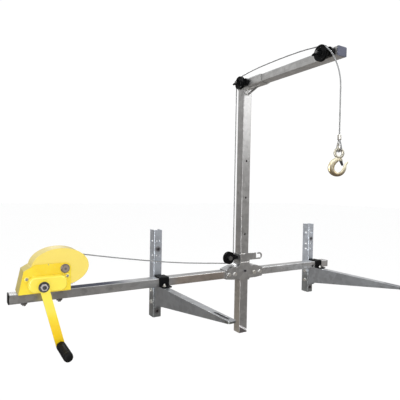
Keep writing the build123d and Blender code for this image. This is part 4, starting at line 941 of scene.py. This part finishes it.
    @staticmethod
    def smooth(piece: Piece, angle: float = 35.0) -> Piece:
        """Shades a piece smooth, apart from its sharp edges.

        Args:
            piece: what is shaded.
            angle: the flattest edge that stays sharp, in degrees.
        Returns:
            The same piece.
        """
        Bench.pick(piece)
        bpy.ops.object.shade_smooth_by_angle(angle=math.radians(angle))
        return piece


def dress(name: str, piece: Piece, slot: str, body: Body | None, *replaced: str) -> Piece:
    """Names a finished piece, gives it its material and its body, and hides the nodes that it stands for.

    Args:
        name: the piece's name.
        piece: the finished object.
        slot: the finish, which is also the record's slot except on welds.
        body: the body that it rides on, or None, which leaves it on no body.
        replaced: the CAD nodes that it hides.
    Returns:
        The same object.
    """
    piece.name = name
    piece.data.materials.clear()
    piece.data.materials.append(MATERIALS[slot])
    if body is not None:
        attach(piece, body.value)
    if replaced:
        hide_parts(*replaced)
    LOG.info("piece %s, finish %s", name, slot)
    return piece


@dataclass(frozen=True)
class Panel:
    """A soft light: where it stands, what it faces, its size, its power and whether it lights matt paint."""

    name: str
    place: Point
    faces: Point
    wide: float
    tall: float
    power: float
    on_paint: bool = False


@dataclass
class Studio:
    """Camera at the photograph's view, with its angles in degrees, soft light and a pale floor."""

    eye: Point = (-1.0345, -1.3679, 0.3353)
    yaw: float = 31.38
    pitch: float = 1.33
    roll: float = -1.02
    lens: float = 35.56
    sensor: float = 36.0
    sight: float = 200.0
    floor_height: float = -0.80
    floor_size: float = 60.0
    surround: float = 1.03
    horizon_low: float = -0.35
    horizon_high: float = 0.85
    mirrored_low: float = 0.275
    mirrored_high: float = 0.96
    mirrored_ground: Colour = (1.0, 0.93, 0.87)
    mirrored_ceiling: Colour = (0.93, 0.97, 1.0)
    panels: Sequence[Panel] = (
        Panel("key_panel", (-1.2, -2.6, 2.6), (0.0, -0.2, 0.3), 1.6, 1.6, 18.0, True),
        Panel("ridge_strip", (-1.75, -1.10, 0.2), (-0.03, -0.06, 0.2), 0.3, 1.9, 22.0),
        Panel("front_panel", (1.3, -2.25, 1.6), (-0.03, -0.08, 0.65), 1.5, 1.4, 16.0),
        Panel("top_panel", (1.8, -0.3, 2.9), (0.1, -0.2, 0.1), 0.9, 0.9, 40.0),
        Panel("back_panel", (-0.2, 3.0, 2.3), (0.0, -0.2, 0.6), 0.9, 0.9, 45.0),
    )

    def camera(self) -> None:
        """Places the camera: looking along +Y, turned right, tipped down and rolled."""
        yaw, pitch, roll = (math.radians(angle) for angle in (self.yaw, self.pitch, self.roll))
        ahead = Vector((math.sin(yaw), math.cos(yaw), 0))
        right = Vector((math.cos(yaw), -math.sin(yaw), 0))
        down = Vector((0, 0, -1))
        forward = ahead * math.cos(pitch) + down * math.sin(pitch)
        below = down * math.cos(pitch) - ahead * math.sin(pitch)
        side = right * math.cos(roll) + below * math.sin(roll)
        foot = below * math.cos(roll) - right * math.sin(roll)
        data = bpy.data.cameras.new("camera")
        data.lens = self.lens
        data.sensor_width = self.sensor
        data.clip_end = self.sight
        camera = bpy.data.objects.new("camera", data)
        bpy.context.scene.collection.objects.link(camera)
        turn = Matrix((side, -foot, -forward)).transposed().to_4x4()
        camera.matrix_world = Matrix.Translation(self.eye) @ turn
        bpy.context.scene.camera = camera

    def sky(self) -> None:
        """Adds white surroundings, which polished faces mirror darker below the horizon."""
        world = bpy.data.worlds.new("studio")
        world.use_nodes = True
        graph = Graph(world.node_tree)
        sky = world.node_tree.nodes["Background"]
        way = graph.node("ShaderNodeTexCoord", {}, {}, "Generated")
        height = graph.node("ShaderNodeSeparateXYZ", {}, {0: way}, "Z")
        height = height.step(self.horizon_low, self.horizon_high)
        glossy = graph.node("ShaderNodeLightPath", {}, {}, "Is Glossy Ray")
        tint = graph.mix(height, self.mirrored_ground, self.mirrored_ceiling)
        graph.feed(sky.inputs["Color"], graph.mix(glossy, (1.0, 1.0, 1.0), tint))
        mirrored = self.mirrored_low + (self.mirrored_high - self.mirrored_low) * height
        graph.feed(sky.inputs["Strength"], glossy * mirrored + (1.0 - glossy) * self.surround)
        bpy.context.scene.world = world
        bpy.context.scene.view_settings.view_transform = "Standard"

    def lights(self) -> None:
        """Adds the soft panels."""
        for panel in self.panels:
            data = bpy.data.lights.new(panel.name, "AREA")
            data.shape = "RECTANGLE"
            data.size = panel.wide
            data.size_y = panel.tall
            data.energy = panel.power
            light = bpy.data.objects.new(panel.name, data)
            light.visible_diffuse = panel.on_paint
            light.visible_camera = False
            bpy.context.scene.collection.objects.link(light)
            turn = (Vector(panel.faces) - Vector(panel.place)).to_track_quat("-Z", "Y")
            light.matrix_world = Matrix.Translation(panel.place) @ turn.to_matrix().to_4x4()

    def floor(self) -> None:
        """Adds the floor, which belongs to the stage."""
        Bench.pick()
        bpy.ops.mesh.primitive_plane_add(size=self.floor_size, location=(0, 0, self.floor_height))
        floor = Bench.settled()
        floor.name = "studio_floor"
        floor.data.materials.append(StudioFloor().build())
        floor.visible_glossy = False

    def build(self) -> None:
        """Builds the studio."""
        self.camera()
        self.sky()
        self.lights()
        self.floor()


@dataclass
class WireRope:
    """Stranded wire rope: its runs follow routes set by the drum, the pulleys and the hook."""

    diameter: float = 4.5 * MM
    strands: int = 6
    points_per_strand: int = 6
    wires_across: float = 4.0
    wires_per_lay: float = 5.0
    lay: float = 30.0 * MM
    rings_per_lay: int = 12
    fewest_rings: int = 8
    route_resolution: int = 48
    points_per_turn: int = 14
    first_normal: Point = (0.3, 0.5, 0.81)

    def route(self, points: Sequence[Point]) -> list[Vector]:
        """Reads a smooth line along a route's control points.

        Args:
            points: the control points in metres.
        Returns:
            Points along the line, evenly spaced.
        """
        curve = Bench.curve(points, self.route_resolution)
        data = curve.data
        read = bpy.data.meshes.new_from_object(curve)
        line = [vertex.co.copy() for vertex in read.vertices]
        bpy.data.objects.remove(curve)
        bpy.data.curves.remove(data)
        bpy.data.meshes.remove(read)
        return self.even(line)

    def even(self, line: Sequence[Vector]) -> list[Vector]:
        """Spaces the points of a line evenly, a fraction of a lay apart.

        Args:
            line: points in order, at any spacing.
        Returns:
            New points on the same line.
        """
        lengths = [0.0]
        for start, end in zip(line, line[1:]):
            lengths.append(lengths[-1] + (end - start).length)
        count = max(self.fewest_rings, round(lengths[-1] / self.lay * self.rings_per_lay))
        spaced = []
        at = 0
        for index in range(count + 1):
            want = lengths[-1] * index / count
            while at < len(line) - 2 and lengths[at + 1] < want:
                at += 1
            share = (want - lengths[at]) / max(lengths[at + 1] - lengths[at], TINY)
            spaced.append(line[at].lerp(line[at + 1], min(max(share, 0.0), 1.0)))
        return spaced

    def stranded(self, line: Sequence[Vector]) -> Piece:
        """Twists the strands' outline along a line.

        Args:
            line: evenly spaced points.
        Returns:
            A closed mesh whose points carry how high they stand on a strand and where on its wires.
        """
        around = self.strands * self.points_per_strand
        # Three strands lie across the rope, the middle one being its core.
        strand = self.diameter / 3 / 2
        vertices, faces, crowns, wires = [], [], [], []
        normal = Vector(self.first_normal)
        run = 0.0
        for index, place in enumerate(line):
            ahead = line[min(index + 1, len(line) - 1)]
            behind = line[max(index - 1, 0)]
            along = (ahead - behind).normalized()
            normal = (normal - along * normal.dot(along)).normalized()
            across = along.cross(normal)
            run += (place - line[index - 1]).length if index else 0.0
            twist = 2 * math.pi * run / self.lay
            for step in range(around):
                share = (step % self.points_per_strand) / self.points_per_strand - 0.5
                phase = 2 * math.pi / self.strands * share
                reach = 2 * strand * math.cos(phase)
                reach += math.sqrt(max(strand**2 - (2 * strand * math.sin(phase)) ** 2, 0.0))
                angle = twist + 2 * math.pi * step / around
                vertices.append(place + (normal * math.cos(angle) + across * math.sin(angle)) * reach)
                crowns.append(1.0 - (2 * abs(share)) ** 2)
                wires.append(self.wires_across * share + self.wires_per_lay * run / self.lay)
        for ring in range(len(line) - 1):
            for step in range(around):
                first, second = ring * around + step, ring * around + (step + 1) % around
                faces.append((first, second, second + around, first + around))
        faces.append(tuple(range(around))[::-1])
        faces.append(tuple(range((len(line) - 1) * around, len(line) * around)))
        mesh = bpy.data.meshes.new("wire_rope")
        mesh.from_pydata(vertices, [], faces)
        for label, values in (("crown", crowns), ("wire", wires)):
            mesh.attributes.new(label, "FLOAT", "POINT").data.foreach_set("value", values)
        piece = bpy.data.objects.new("wire_rope", mesh)
        bpy.context.scene.collection.objects.link(piece)
        return Bench.smooth(piece, angle=60.0)

    def run(self, name: str, points: Sequence[Point], bodies: Sequence[Body],
            fittings: Sequence[Piece] = ()) -> None:
        """Args:
            name: the run's name, which its CAD node has too.
            points: the route's control points.
            bodies: the body that it rides on, or the two that it stretches between.
            fittings: what hangs at its far end, if anything does; not used.
        """
        line = self.route(points)
        rides = bodies[0] if len(bodies) == 1 else None
        piece = dress(f"wire_rope_{name}", self.stranded(line), "rope", rides, f"rope_{name}")
        if rides is None:
            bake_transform(piece)
        length = sum((end - start).length for start, end in zip(line, line[1:]))

    @staticmethod
    def in_post_plane(*points: tuple[float, float]) -> list[Point]:
        """Route points given as X and Z, in millimetres, in the plane of the winch and the post."""
        return [(x * MM, ROPE_Y, z * MM) for x, z in points]

    @staticmethod
    def in_jib_plane(*points: tuple[float, float]) -> list[Point]:
        """Route points given as Y and Z, in millimetres, in the plane of the jib's pulleys."""
        return [(ROPE_X, y * MM, z * MM) for y, z in points]

    def winch_run(self) -> None:
        """Runs from the top of the drum, with a little sag, round the lower pulley."""
        points = self.in_post_plane((-741.6, 129.7), (-419.2, 69.0), (-92.5, 40.6), (-82.6, 39.7),
                                    (-68.0, 53.1), (-68.0, 63.0))
        self.run("winch_run", points, [Body.SUPPORT])

    def post_run(self) -> None:
        """Runs up the post."""
        points = self.in_post_plane((-68.0, 63.0), (-68.0, 90.0), (-68.0, 746.0), (-68.0, 773.0))
        self.run("post_run", points, [Body.SUPPORT, Body.MAST])

    def jib_run(self) -> None:
        """Runs over the top pulley, in a low bow along the jib, over the end pulley and down in a bow."""
        points = self.in_jib_plane((-54.5, 773.0), (-54.5, 781.6), (-66.1, 794.5), (-74.6, 795.4),
                                   (-180.3, 806.5), (-392.7, 806.5), (-498.4, 795.4), (-505.6, 794.6),
                                   (-511.1, 789.7), (-541.1, 762.7), (-574.0, 688.8), (-574.0, 648.3))
        self.run("jib_run", points, [Body.MAST])

    def hanging_run(self, fittings: Sequence[Piece]) -> None:
        """Hangs from the bow's foot to the ferrule."""
        points = self.in_jib_plane((-574.0, 648.3), (-574.0, 538.0), (-574.0, 511.0))
        self.run("hanging_run", points, [Body.MAST, Body.ROPE_END], fittings)

    def eye(self) -> Piece:
        """Loops the rope's end round the thimble.

        Returns:
            The loop.
        """
        outline = ((-2.6, 493.4), (-13.0, 476.5), (-12.5, 459.5), (12.5, 459.5), (13.0, 476.5), (2.6, 493.4))
        points = [tuple(HOOK_FRAME @ Vector((x * MM, 0, z * MM))) for x, z in outline]
        return dress("wire_rope_eye", self.stranded(self.route(points)), "rope", Body.ROPE_END, "rope_eye")

    def coil(self, radius: float, first_y: float, pitch: float, turns: float, lead: float) -> Piece:
        """Winds one layer on the drum.

        Args:
            radius: radius of the rope's middle.
            first_y: where the rope leaves the layer.
            pitch: step along the drum per turn.
            turns: turns counted back from there.
            lead: angle on the drum at which the rope leaves, in degrees.
        Returns:
            The layer's mesh.
        """
        count = round(self.points_per_turn * turns)
        reach = radius / math.cos(math.pi / self.points_per_turn)
        points = []
        for index in range(count + 1):
            angle = math.radians(lead) + 2 * math.pi * index / self.points_per_turn
            away = radius if index in (0, count) else reach
            y = first_y + pitch * index / self.points_per_turn
            points.append((DRUM_AXLE.x + away * math.cos(angle), y, DRUM_AXLE.z + away * math.sin(angle)))
        return self.stranded(self.route(points))

    def windings(self) -> None:
        """Winds the outer layer from the back flange, and shows the layer below in front of it."""
        outer = self.coil(radius=45.5 * MM, first_y=ROPE_Y, pitch=5.0 * MM, turns=3.25, lead=79.3)
        dress("wire_rope_outer_layer", outer, "rope", Body.DRUM, "rope_winding")
        inner = self.coil(radius=41.3 * MM, first_y=-75.6 * MM, pitch=4.7 * MM, turns=9.0, lead=200.0)
        dress("wire_rope_inner_layer", inner, "rope", Body.DRUM, "rope_core")

    def build(self, fittings: Sequence[Piece]) -> None:
        """Builds every run of the rope.

        Args:
            fittings: the ferrule and the thimble, which hang on the rope.
        """
        self.winch_run()
        self.post_run()
        self.jib_run()
        self.hanging_run([*fittings, self.eye()])
        self.windings()


@dataclass
class HookBlock:
    """Crimped ferrule, thimble and forged hook, shaped about the rope and then turned on it."""

    ferrule_width: float = 15.5 * MM
    ferrule_depth: float = 11.0 * MM
    thimble_radius: float = 8.35 * MM
    thimble_width: float = 4.4 * MM
    thimble_wall: float = 1.0 * MM
    thimble_seat: float = 0.8 * MM
    thimble_peak: float = 2.0 * MM
    hook_width: float = 12.0 * MM
    ring_radius: float = 12.95 * MM
    ring_section: float = 4.35 * MM
    ring_drop: float = 17.0 * MM
    latch_out: float = 5.0 * MM
    latch_drop: float = 20.0 * MM
    lug_radius: float = 4.6 * MM
    lug_wall: float = 1.8 * MM
    lug_rim: tuple[float, float] = (0.3 * MM, 0.4 * MM)
    lug_side: float = 5.2 * MM
    lug_reach: float = 9.0 * MM
    lug_height: float = 7.0 * MM
    voxel: float = 0.75 * MM
    passes: int = 5

    def ferrule(self) -> Piece:
        """Presses a sleeve with two shallow crimps.

        Returns:
            The ferrule.
        """
        low, high = corners("rope_ferrule")
        tall = high.z - low.z
        wide = self.ferrule_width / 2
        shares = ((0.0, 0.78), (0.03, 0.92), (0.12, 1.0), (0.26, 0.955), (0.36, 0.955), (0.5, 1.0),
                  (0.64, 0.955), (0.74, 0.955), (0.88, 1.0), (0.97, 0.92), (1.0, 0.78))
        piece = Bench.turned([(tall * at, wide * share) for at, share in shares], sides=36)
        flatten = Matrix.Diagonal((1.0, self.ferrule_depth / self.ferrule_width, 1.0, 1.0))
        piece.data.transform(HOOK_FRAME @ Matrix.Translation((0, 0, low.z)) @ flatten)
        Bench.smooth(piece, angle=50.0)
        return dress("crimped_ferrule", piece, "zinc", Body.ROPE_END, "rope_ferrule")

    def thimble(self) -> Piece:
        """Bends the thimble as a flattened tube inside the rope's eye, with lips that flare to its point.

        Returns:
            The thimble.
        """
        low, high = corners("rope_thimble")
        bowl = low.z + self.thimble_radius + self.thimble_seat
        peak = (0.0, 0.0, high.z - self.thimble_peak, 1.7 * self.thimble_wall)
        points = [peak]
        for x, z, flare in ((0.62, 1.15, 1.6), (1.12, 0.25, 1.35), (0.92, -0.98, 1.0), (-0.92, -0.98, 1.0),
                            (-1.12, 0.25, 1.35), (-0.62, 1.15, 1.6)):
            height = bowl + z * self.thimble_radius
            points.append((x * self.thimble_radius, 0.0, height, flare * self.thimble_wall))
        piece = Bench.tube([*points, peak])
        spread = self.thimble_width / (2 * self.thimble_wall)
        piece.data.transform(HOOK_FRAME @ Matrix.Diagonal((1, spread, 1, 1)))
        Bench.smooth(piece, angle=50.0)
        return dress("thimble_channel", piece, "zinc", Body.ROPE_END, "rope_thimble")

    def lugs(self, height: float) -> list[Piece]:
        """Makes the two cheeks that hold the latch's pin.

        Args:
            height: level of the pin.
        Returns:
            A round boss and its arm on each side.
        """
        made = []
        for middle in (-self.lug_side, self.lug_side):
            boss = Bench.disc(self.lug_radius, self.lug_wall, self.lug_rim)
            made.append(Bench.aim(boss, Axis.RIGHT, (middle - self.lug_wall / 2, -self.latch_out, height)))
            centre = (middle, self.lug_reach / 2 - self.latch_out, height)
            size = (self.lug_wall, self.lug_reach, self.lug_height)
            made.append(Bench.block(centre, size, self.lug_rim[1]))
        return made

    def hook(self) -> None:
        """Forges the hook: a ring, a bowl that is thickest at the back and a flared tip, melted together."""
        ring_height = corners("hook")[1].z - self.ring_drop
        Bench.pick()
        bpy.ops.mesh.primitive_torus_add(location=(0, 0, ring_height), rotation=(0, math.pi / 2, 0),
                                         major_radius=self.ring_radius, minor_radius=self.ring_section,
                                         major_segments=48, minor_segments=20)
        ring = Bench.settled()
        line = ((0.0, -12.5, 6.0), (-3.5, -18.5, 6.8), (-15.5, -26.0, 8.8), (-24.6, -38.0, 10.4),
                (-24.6, -50.5, 10.3), (-16.6, -60.8, 8.2), (-1.5, -65.0, 6.3), (11.9, -59.2, 6.0),
                (18.6, -47.5, 6.4), (20.5, -39.5, 5.2), (22.6, -33.0, 3.8), (28.0, -27.0, 2.6),
                (31.0, -25.0, 1.6))
        bowl = Bench.tube([(0.0, -out * MM, ring_height + up * MM, radius * MM) for out, up, radius in line])
        thickest = 2 * MM * max(radius for out, up, radius in line)
        bowl.data.transform(Matrix.Diagonal((self.hook_width / thickest, 1, 1, 1)))
        parts = [ring, bowl, *self.lugs(ring_height - self.latch_drop)]
        piece = Bench.melted(parts, self.voxel, self.passes)
        piece.data.transform(HOOK_FRAME)
        dress("forged_hook", Bench.smooth(piece, angle=80.0), "gold_zinc", Body.HOOK, "hook")

    def build(self) -> list[Piece]:
        """Builds the block.

        Returns:
            What is fixed to the rope itself.
        """
        on_rope = [self.ferrule(), self.thimble()]
        self.hook()
        return on_rope


@dataclass
class CrankGrip:
    """Moulded hand grip with finger rings."""

    rings: int = 9
    groove: float = 1.1 * MM
    rings_start: float = 0.12
    rings_end: float = 0.86

    def build(self) -> None:
        """Turns the grip with its rings and a domed end."""
        low, high = corners("hand_grip")
        middle = (low + high) / 2
        radius = (high.x - low.x) / 2
        span = high.y - low.y
        wide = span * (self.rings_end - self.rings_start) / self.rings
        profile = [(0.0, radius * 0.72), (1.2 * MM, radius * 0.90), (3.5 * MM, radius)]
        for ring in range(self.rings):
            start = span * self.rings_start + wide * ring
            for share, depth in ((0.0, 0.0), (0.18, 0.75), (0.36, 1.0), (0.54, 0.75), (0.72, 0.0)):
                profile.append((start + wide * share, radius - self.groove * depth))
        for share, width in ((0.90, 1.0), (0.955, 0.94), (0.985, 0.78), (1.0, 0.45)):
            profile.append((span * share, radius * width))
        piece = Bench.aim(Bench.turned(profile, sides=48), Axis.FRONT, (middle.x, high.y, middle.z))
        dress("ribbed_grip", Bench.smooth(piece, angle=50.0), "grip_rubber", Body.GRIP, "hand_grip")


class Washer(Enum):
    """Radius and thickness of each kind of washer."""

    WINCH_BOLT = (10.5 * MM, 1.6 * MM)
    PLATE_BOLT = (8.4 * MM, 1.4 * MM)
    CLAMP_BOLT = (6.4 * MM, 1.2 * MM)
    JIB_AXLE = (11.0 * MM, 1.6 * MM)
    LOWER_AXLE_BACK = (10.0 * MM, 1.6 * MM)
    LOWER_AXLE_FRONT = (9.0 * MM, 1.4 * MM)


@dataclass
class Hardware:
    """Wing nuts, threads on bolt ends and washers; the hub's and the point's profiles are in millimetres."""

    pitch: float = 1.4 * MM
    crest: float = 0.02 * MM
    thread_depth: float = 0.45 * MM
    point: Sequence[tuple[float, float]] = ((-0.3, 0.2), (0.05, 0.9))
    tail: float = 4.6 * MM
    winch_thread: float = 5.0 * MM
    plate_thread: float = 4.0 * MM
    clamp_thread: float = 3.0 * MM
    winch_bolts_apart: float = 104.5 * MM
    winch_base: float = 18.0 * MM
    connector_bolts: Sequence[float] = (-79.0 * MM, -50.0 * MM, 50.0 * MM, 79.0 * MM)
    arm_bolts: Sequence[float] = (0.28, 0.78)
    arm_nut: float = 6.4 * MM
    clamp_seat: float = -11.0 * MM
    hub: Sequence[tuple[float, float]] = ((0.0, 8.6), (0.6, 9.0), (3.2, 8.8), (12.2, 6.6), (13.0, 5.8))
    ear_radius: float = 5.8 * MM
    ear_wall: float = 3.8 * MM
    ear_rim: tuple[float, float] = (0.7 * MM, 1.0 * MM)
    ear_stretch: float = 1.35
    ear_out: float = 11.4 * MM
    ear_height: float = 13.8 * MM
    ear_tilt: float = math.radians(32)
    nut_turn: float = math.radians(115)
    voxel: float = 0.6 * MM
    passes: int = 4

    def thread(self, radius: float, axis: Axis, foot: Point) -> Piece:
        """Cuts a bolt's end as a row of sharp rings with a chamfered point.

        Args:
            radius: the bolt's radius.
            axis: where the bolt points.
            foot: where the thread starts.
        Returns:
            The bolt's end.
        """
        profile = [(0.0, radius)]
        for ring in range(int(self.tail / self.pitch)):
            start = ring * self.pitch
            profile.append((start + 0.25 * self.pitch, radius + self.crest))
            profile.append((start + 0.75 * self.pitch, radius - self.thread_depth))
        for height, inset in self.point:
            profile.append((self.tail + height * MM, radius - inset * MM))
        return Bench.aim(Bench.turned(profile, sides=24), axis, foot)

    @staticmethod
    def washer(kind: Washer, axis: Axis, foot: Point) -> Piece:
        """Turns a washer with rounded rims.

        Args:
            kind: the washer's size.
            axis: where its outer face points.
            foot: the middle of its inner face.
        Returns:
            The washer.
        """
        radius, thickness = kind.value
        edge = 0.25 * thickness
        return Bench.aim(Bench.disc(radius, thickness, (edge, edge), sides=32), axis, foot)

    @staticmethod
    def fit(name: str, pieces: Sequence[Piece], slot: str) -> None:
        """Joins, smooths and dresses what is bolted to the support."""
        dress(name, Bench.smooth(Bench.joined(pieces)), slot, Body.SUPPORT)

    def wing_nut(self, foot: Point) -> Piece:
        """Casts a wing nut: a coned hub with two rounded ears.

        Args:
            foot: the middle of the hub's seat.
        Returns:
            The nut, which points to the left.
        """
        turn = Matrix.Rotation(self.nut_turn, 4, "Z")
        stretch = Matrix.Diagonal((self.ear_stretch, 1.0, 1.0, 1.0))
        upright = Matrix.Rotation(math.pi / 2, 4, "X") @ stretch
        centred = Matrix.Translation((0, 0, -self.ear_wall / 2))
        hub = Bench.turned([(height * MM, radius * MM) for height, radius in self.hub], sides=32)
        hub.data.transform(turn)
        parts = [hub]
        for side in (-1, 1):
            ear = Bench.disc(self.ear_radius, self.ear_wall, self.ear_rim, sides=24)
            place = Matrix.Translation((side * self.ear_out, 0, self.ear_height))
            tilt = Matrix.Rotation(-side * self.ear_tilt, 4, "Y")
            ear.data.transform(turn @ place @ tilt @ upright @ centred)
            parts.append(ear)
        piece = Bench.melted(parts, self.voxel, self.passes)
        return Bench.smooth(Bench.aim(piece, Axis.LEFT, foot), angle=60.0)

    def wing_nuts(self) -> None:
        """Puts a wing nut outside each pulley of the jib."""
        seat = corners("pulley_wing_nuts")[1].x
        wheels = (centre_of("top_pulley"), centre_of("end_pulley"))
        pieces = [self.wing_nut((seat, wheel.y, wheel.z)) for wheel in wheels]
        dress("cast_wing_nuts", Bench.joined(pieces), "black_steel", Body.MAST, "pulley_wing_nuts")

    def winch_ends(self) -> None:
        """Threads the winch bolts' ends below the beam, with washers at both ends."""
        low, high = corners("winch_fasteners")
        middle = (low + high) / 2
        underside = corners("beam_left_tube")[0].z
        pieces = []
        for side in (-1, 1):
            x = middle.x + side * self.winch_bolts_apart / 2
            pieces.append(self.thread(self.winch_thread, Axis.DOWN, (x, middle.y, low.z + self.tail)))
            pieces.append(self.washer(Washer.WINCH_BOLT, Axis.DOWN, (x, middle.y, underside)))
            pieces.append(self.washer(Washer.WINCH_BOLT, Axis.UP, (x, middle.y, self.winch_base)))
        self.fit("winch_threads_and_washers", pieces, "dark_steel")

    def connector_ends(self) -> None:
        """Threads the connector bolts' ends at the back, with washers at both ends."""
        bolt_end = corners("connector_fasteners")[1].y
        front = corners("connector_front_plate")[0].y
        back = corners("connector_rear_plate")[1].y
        pieces = []
        for offset in self.connector_bolts:
            x = POST_X + offset
            pieces.append(self.thread(self.plate_thread, Axis.BACK, (x, bolt_end - self.tail, 0.0)))
            pieces.append(self.washer(Washer.PLATE_BOLT, Axis.FRONT, (x, front, 0.0)))
            pieces.append(self.washer(Washer.PLATE_BOLT, Axis.BACK, (x, back, 0.0)))
        self.fit("connector_threads_and_washers", pieces, "zinc")

    def bracket_ends(self) -> None:
        """Threads the arm bolts and the clamp bolts, with their washers."""
        arm_low, arm_high = corners("left_bracket_arm")
        y = centre_of("arm_fasteners").y
        clamp_y = centre_of("clamp_fasteners").y
        clamp_end = corners("clamp_fasteners")[1].z
        pieces = []
        for node in ("left_wall_leg", "right_wall_leg"):
            low, high = corners(node)
            for share in self.arm_bolts:
                z = arm_high.z - share * (arm_high.z - arm_low.z)
                pieces.append(self.thread(self.plate_thread, Axis.RIGHT, (high.x + self.arm_nut, y, z)))
                pieces.append(self.washer(Washer.PLATE_BOLT, Axis.RIGHT, (high.x, y, z)))
                pieces.append(self.washer(Washer.PLATE_BOLT, Axis.LEFT, (low.x, y, z)))
            x = (low.x + high.x) / 2
            pieces.append(self.thread(self.clamp_thread, Axis.UP, (x, clamp_y, clamp_end - self.tail)))
            pieces.append(self.washer(Washer.CLAMP_BOLT, Axis.UP, (x, clamp_y, self.clamp_seat)))
        self.fit("bracket_threads_and_washers", pieces, "zinc")

    def pulley_washers(self) -> None:
        """Puts washers under the heads of the jib pulleys' axles and at both ends of the lower pulley's."""
        pieces = []
        for node, pulley in (("jib_sleeve", "top_pulley"), ("jib_tube", "end_pulley")):
            wheel = centre_of(pulley)
            pieces.append(self.washer(Washer.JIB_AXLE, Axis.RIGHT, (corners(node)[1].x, wheel.y, wheel.z)))
        dress("axle_washers", Bench.joined(pieces), "zinc", Body.MAST)
        rear, guard = corners("connector_rear_plate")[1].y, corners("lower_pulley_guard")[0].y
        x, z = LOWER_PULLEY.x, LOWER_PULLEY.z
        back = self.washer(Washer.LOWER_AXLE_BACK, Axis.BACK, (x, rear, z))
        front = self.washer(Washer.LOWER_AXLE_FRONT, Axis.FRONT, (x, guard, z))
        dress("lower_pulley_washers", Bench.joined([back, front]), "dark_steel", Body.SUPPORT)

    def build(self) -> None:
        """Builds all the small hardware."""
        self.wing_nuts()
        self.winch_ends()
        self.connector_ends()
        self.bracket_ends()
        self.pulley_washers()


@dataclass
class Welds:
    """Rippled weld beads along the joints of the steelwork."""

    radius: float = 2.0 * MM
    ripple: float = 3.2 * MM
    trough: float = 0.74
    crater: float = 0.6
    gusset_half: float = 2.4 * MM
    gusset_drop: float = 26.0 * MM
    gusset_reach: float = 80.0 * MM
    corner_gap: float = 2.0 * MM
    band_length: float = 45.0 * MM
    band_inset: float = 1.0 * MM
    foot_sink: float = 0.6 * MM
    head_sink: float = 1.6 * MM
    head_start: float = 3.0 * MM
    head_stop: float = 6.0 * MM

    def bead(self, *stops: Point) -> Piece:
        """Lays a rippled bead along straight stretches.

        Args:
            stops: the corners between the stretches.
        Returns:
            The bead's mesh.
        """
        places = [Vector(stop) for stop in stops]
        points = []
        for start, end in zip(places, places[1:]):
            count = max(2, round((end - start).length / self.ripple * 2))
            for index in range(count):
                swell = 1.0 if index % 2 else self.trough
                points.append((*start.lerp(end, index / count), self.radius * swell))
        points.append((*places[-1], self.radius * self.crater))
        return Bench.smooth(Bench.tube(points), angle=70.0)

    def mast_beads(self) -> None:
        """Joins the sleeve to the post and the gusset to both."""
        low, high = corners("post_tube")
        top = high.z
        first = (low.x, low.y, top)
        pieces = [self.bead(first, (high.x, low.y, top), (high.x, high.y, top), (low.x, high.y, top), first)]
        for side in (-1, 1):
            x = POST_X + side * self.gusset_half
            pieces.append(self.bead((x, low.y, top - self.gusset_drop), (x, low.y, top - self.corner_gap)))
            pieces.append(self.bead((x, low.y - self.corner_gap, top), (x, low.y - self.gusset_reach, top)))
        dress("mast_welds", Bench.joined(pieces), "weld", Body.MAST)

    def connector_beads(self) -> None:
        """Joins the band to the connector across the post's front, at the band's foot and head."""
        plate_low, plate_high = corners("connector_front_plate")
        band_low, band_high = corners("pulley_band")
        left = band_low.x + self.band_inset
        right = left + self.band_length
        front = plate_low.y + self.foot_sink
        behind, head = front + self.head_sink, band_high.z - self.head_sink
        foot_bead = self.bead((left, front, plate_high.z), (right, front, plate_high.z))
        head_bead = self.bead((left + self.head_start, behind, head), (right - self.head_stop, behind, head))
        dress("connector_welds", Bench.joined([foot_bead, head_bead]), "weld", Body.SUPPORT)

    def build(self) -> None:
        """Lays all the beads."""
        self.mast_beads()
        self.connector_beads()


def dress_cad_nodes() -> None:
    """Gives every CAD node the finish of its record slot."""
    slots = {entry["node"]: entry["material_slot"] for entry in frame["record"]["subparts"]}
    for name, node in frame["nodes"].items():
        node.data.materials.clear()
        node.data.materials.append(MATERIALS[slots[name]])
        LOG.info("node %s, finish %s", name, slots[name])


def main() -> None:
    """Builds the studio, dresses the nodes and adds the modelled pieces."""
    logging.basicConfig(level=logging.INFO)
    Studio().build()
    dress_cad_nodes()
    on_rope = HookBlock().build()
    WireRope().build(on_rope)
    CrankGrip().build()
    Hardware().build()
    Welds().build()


if __name__ == "__main__":
    main()
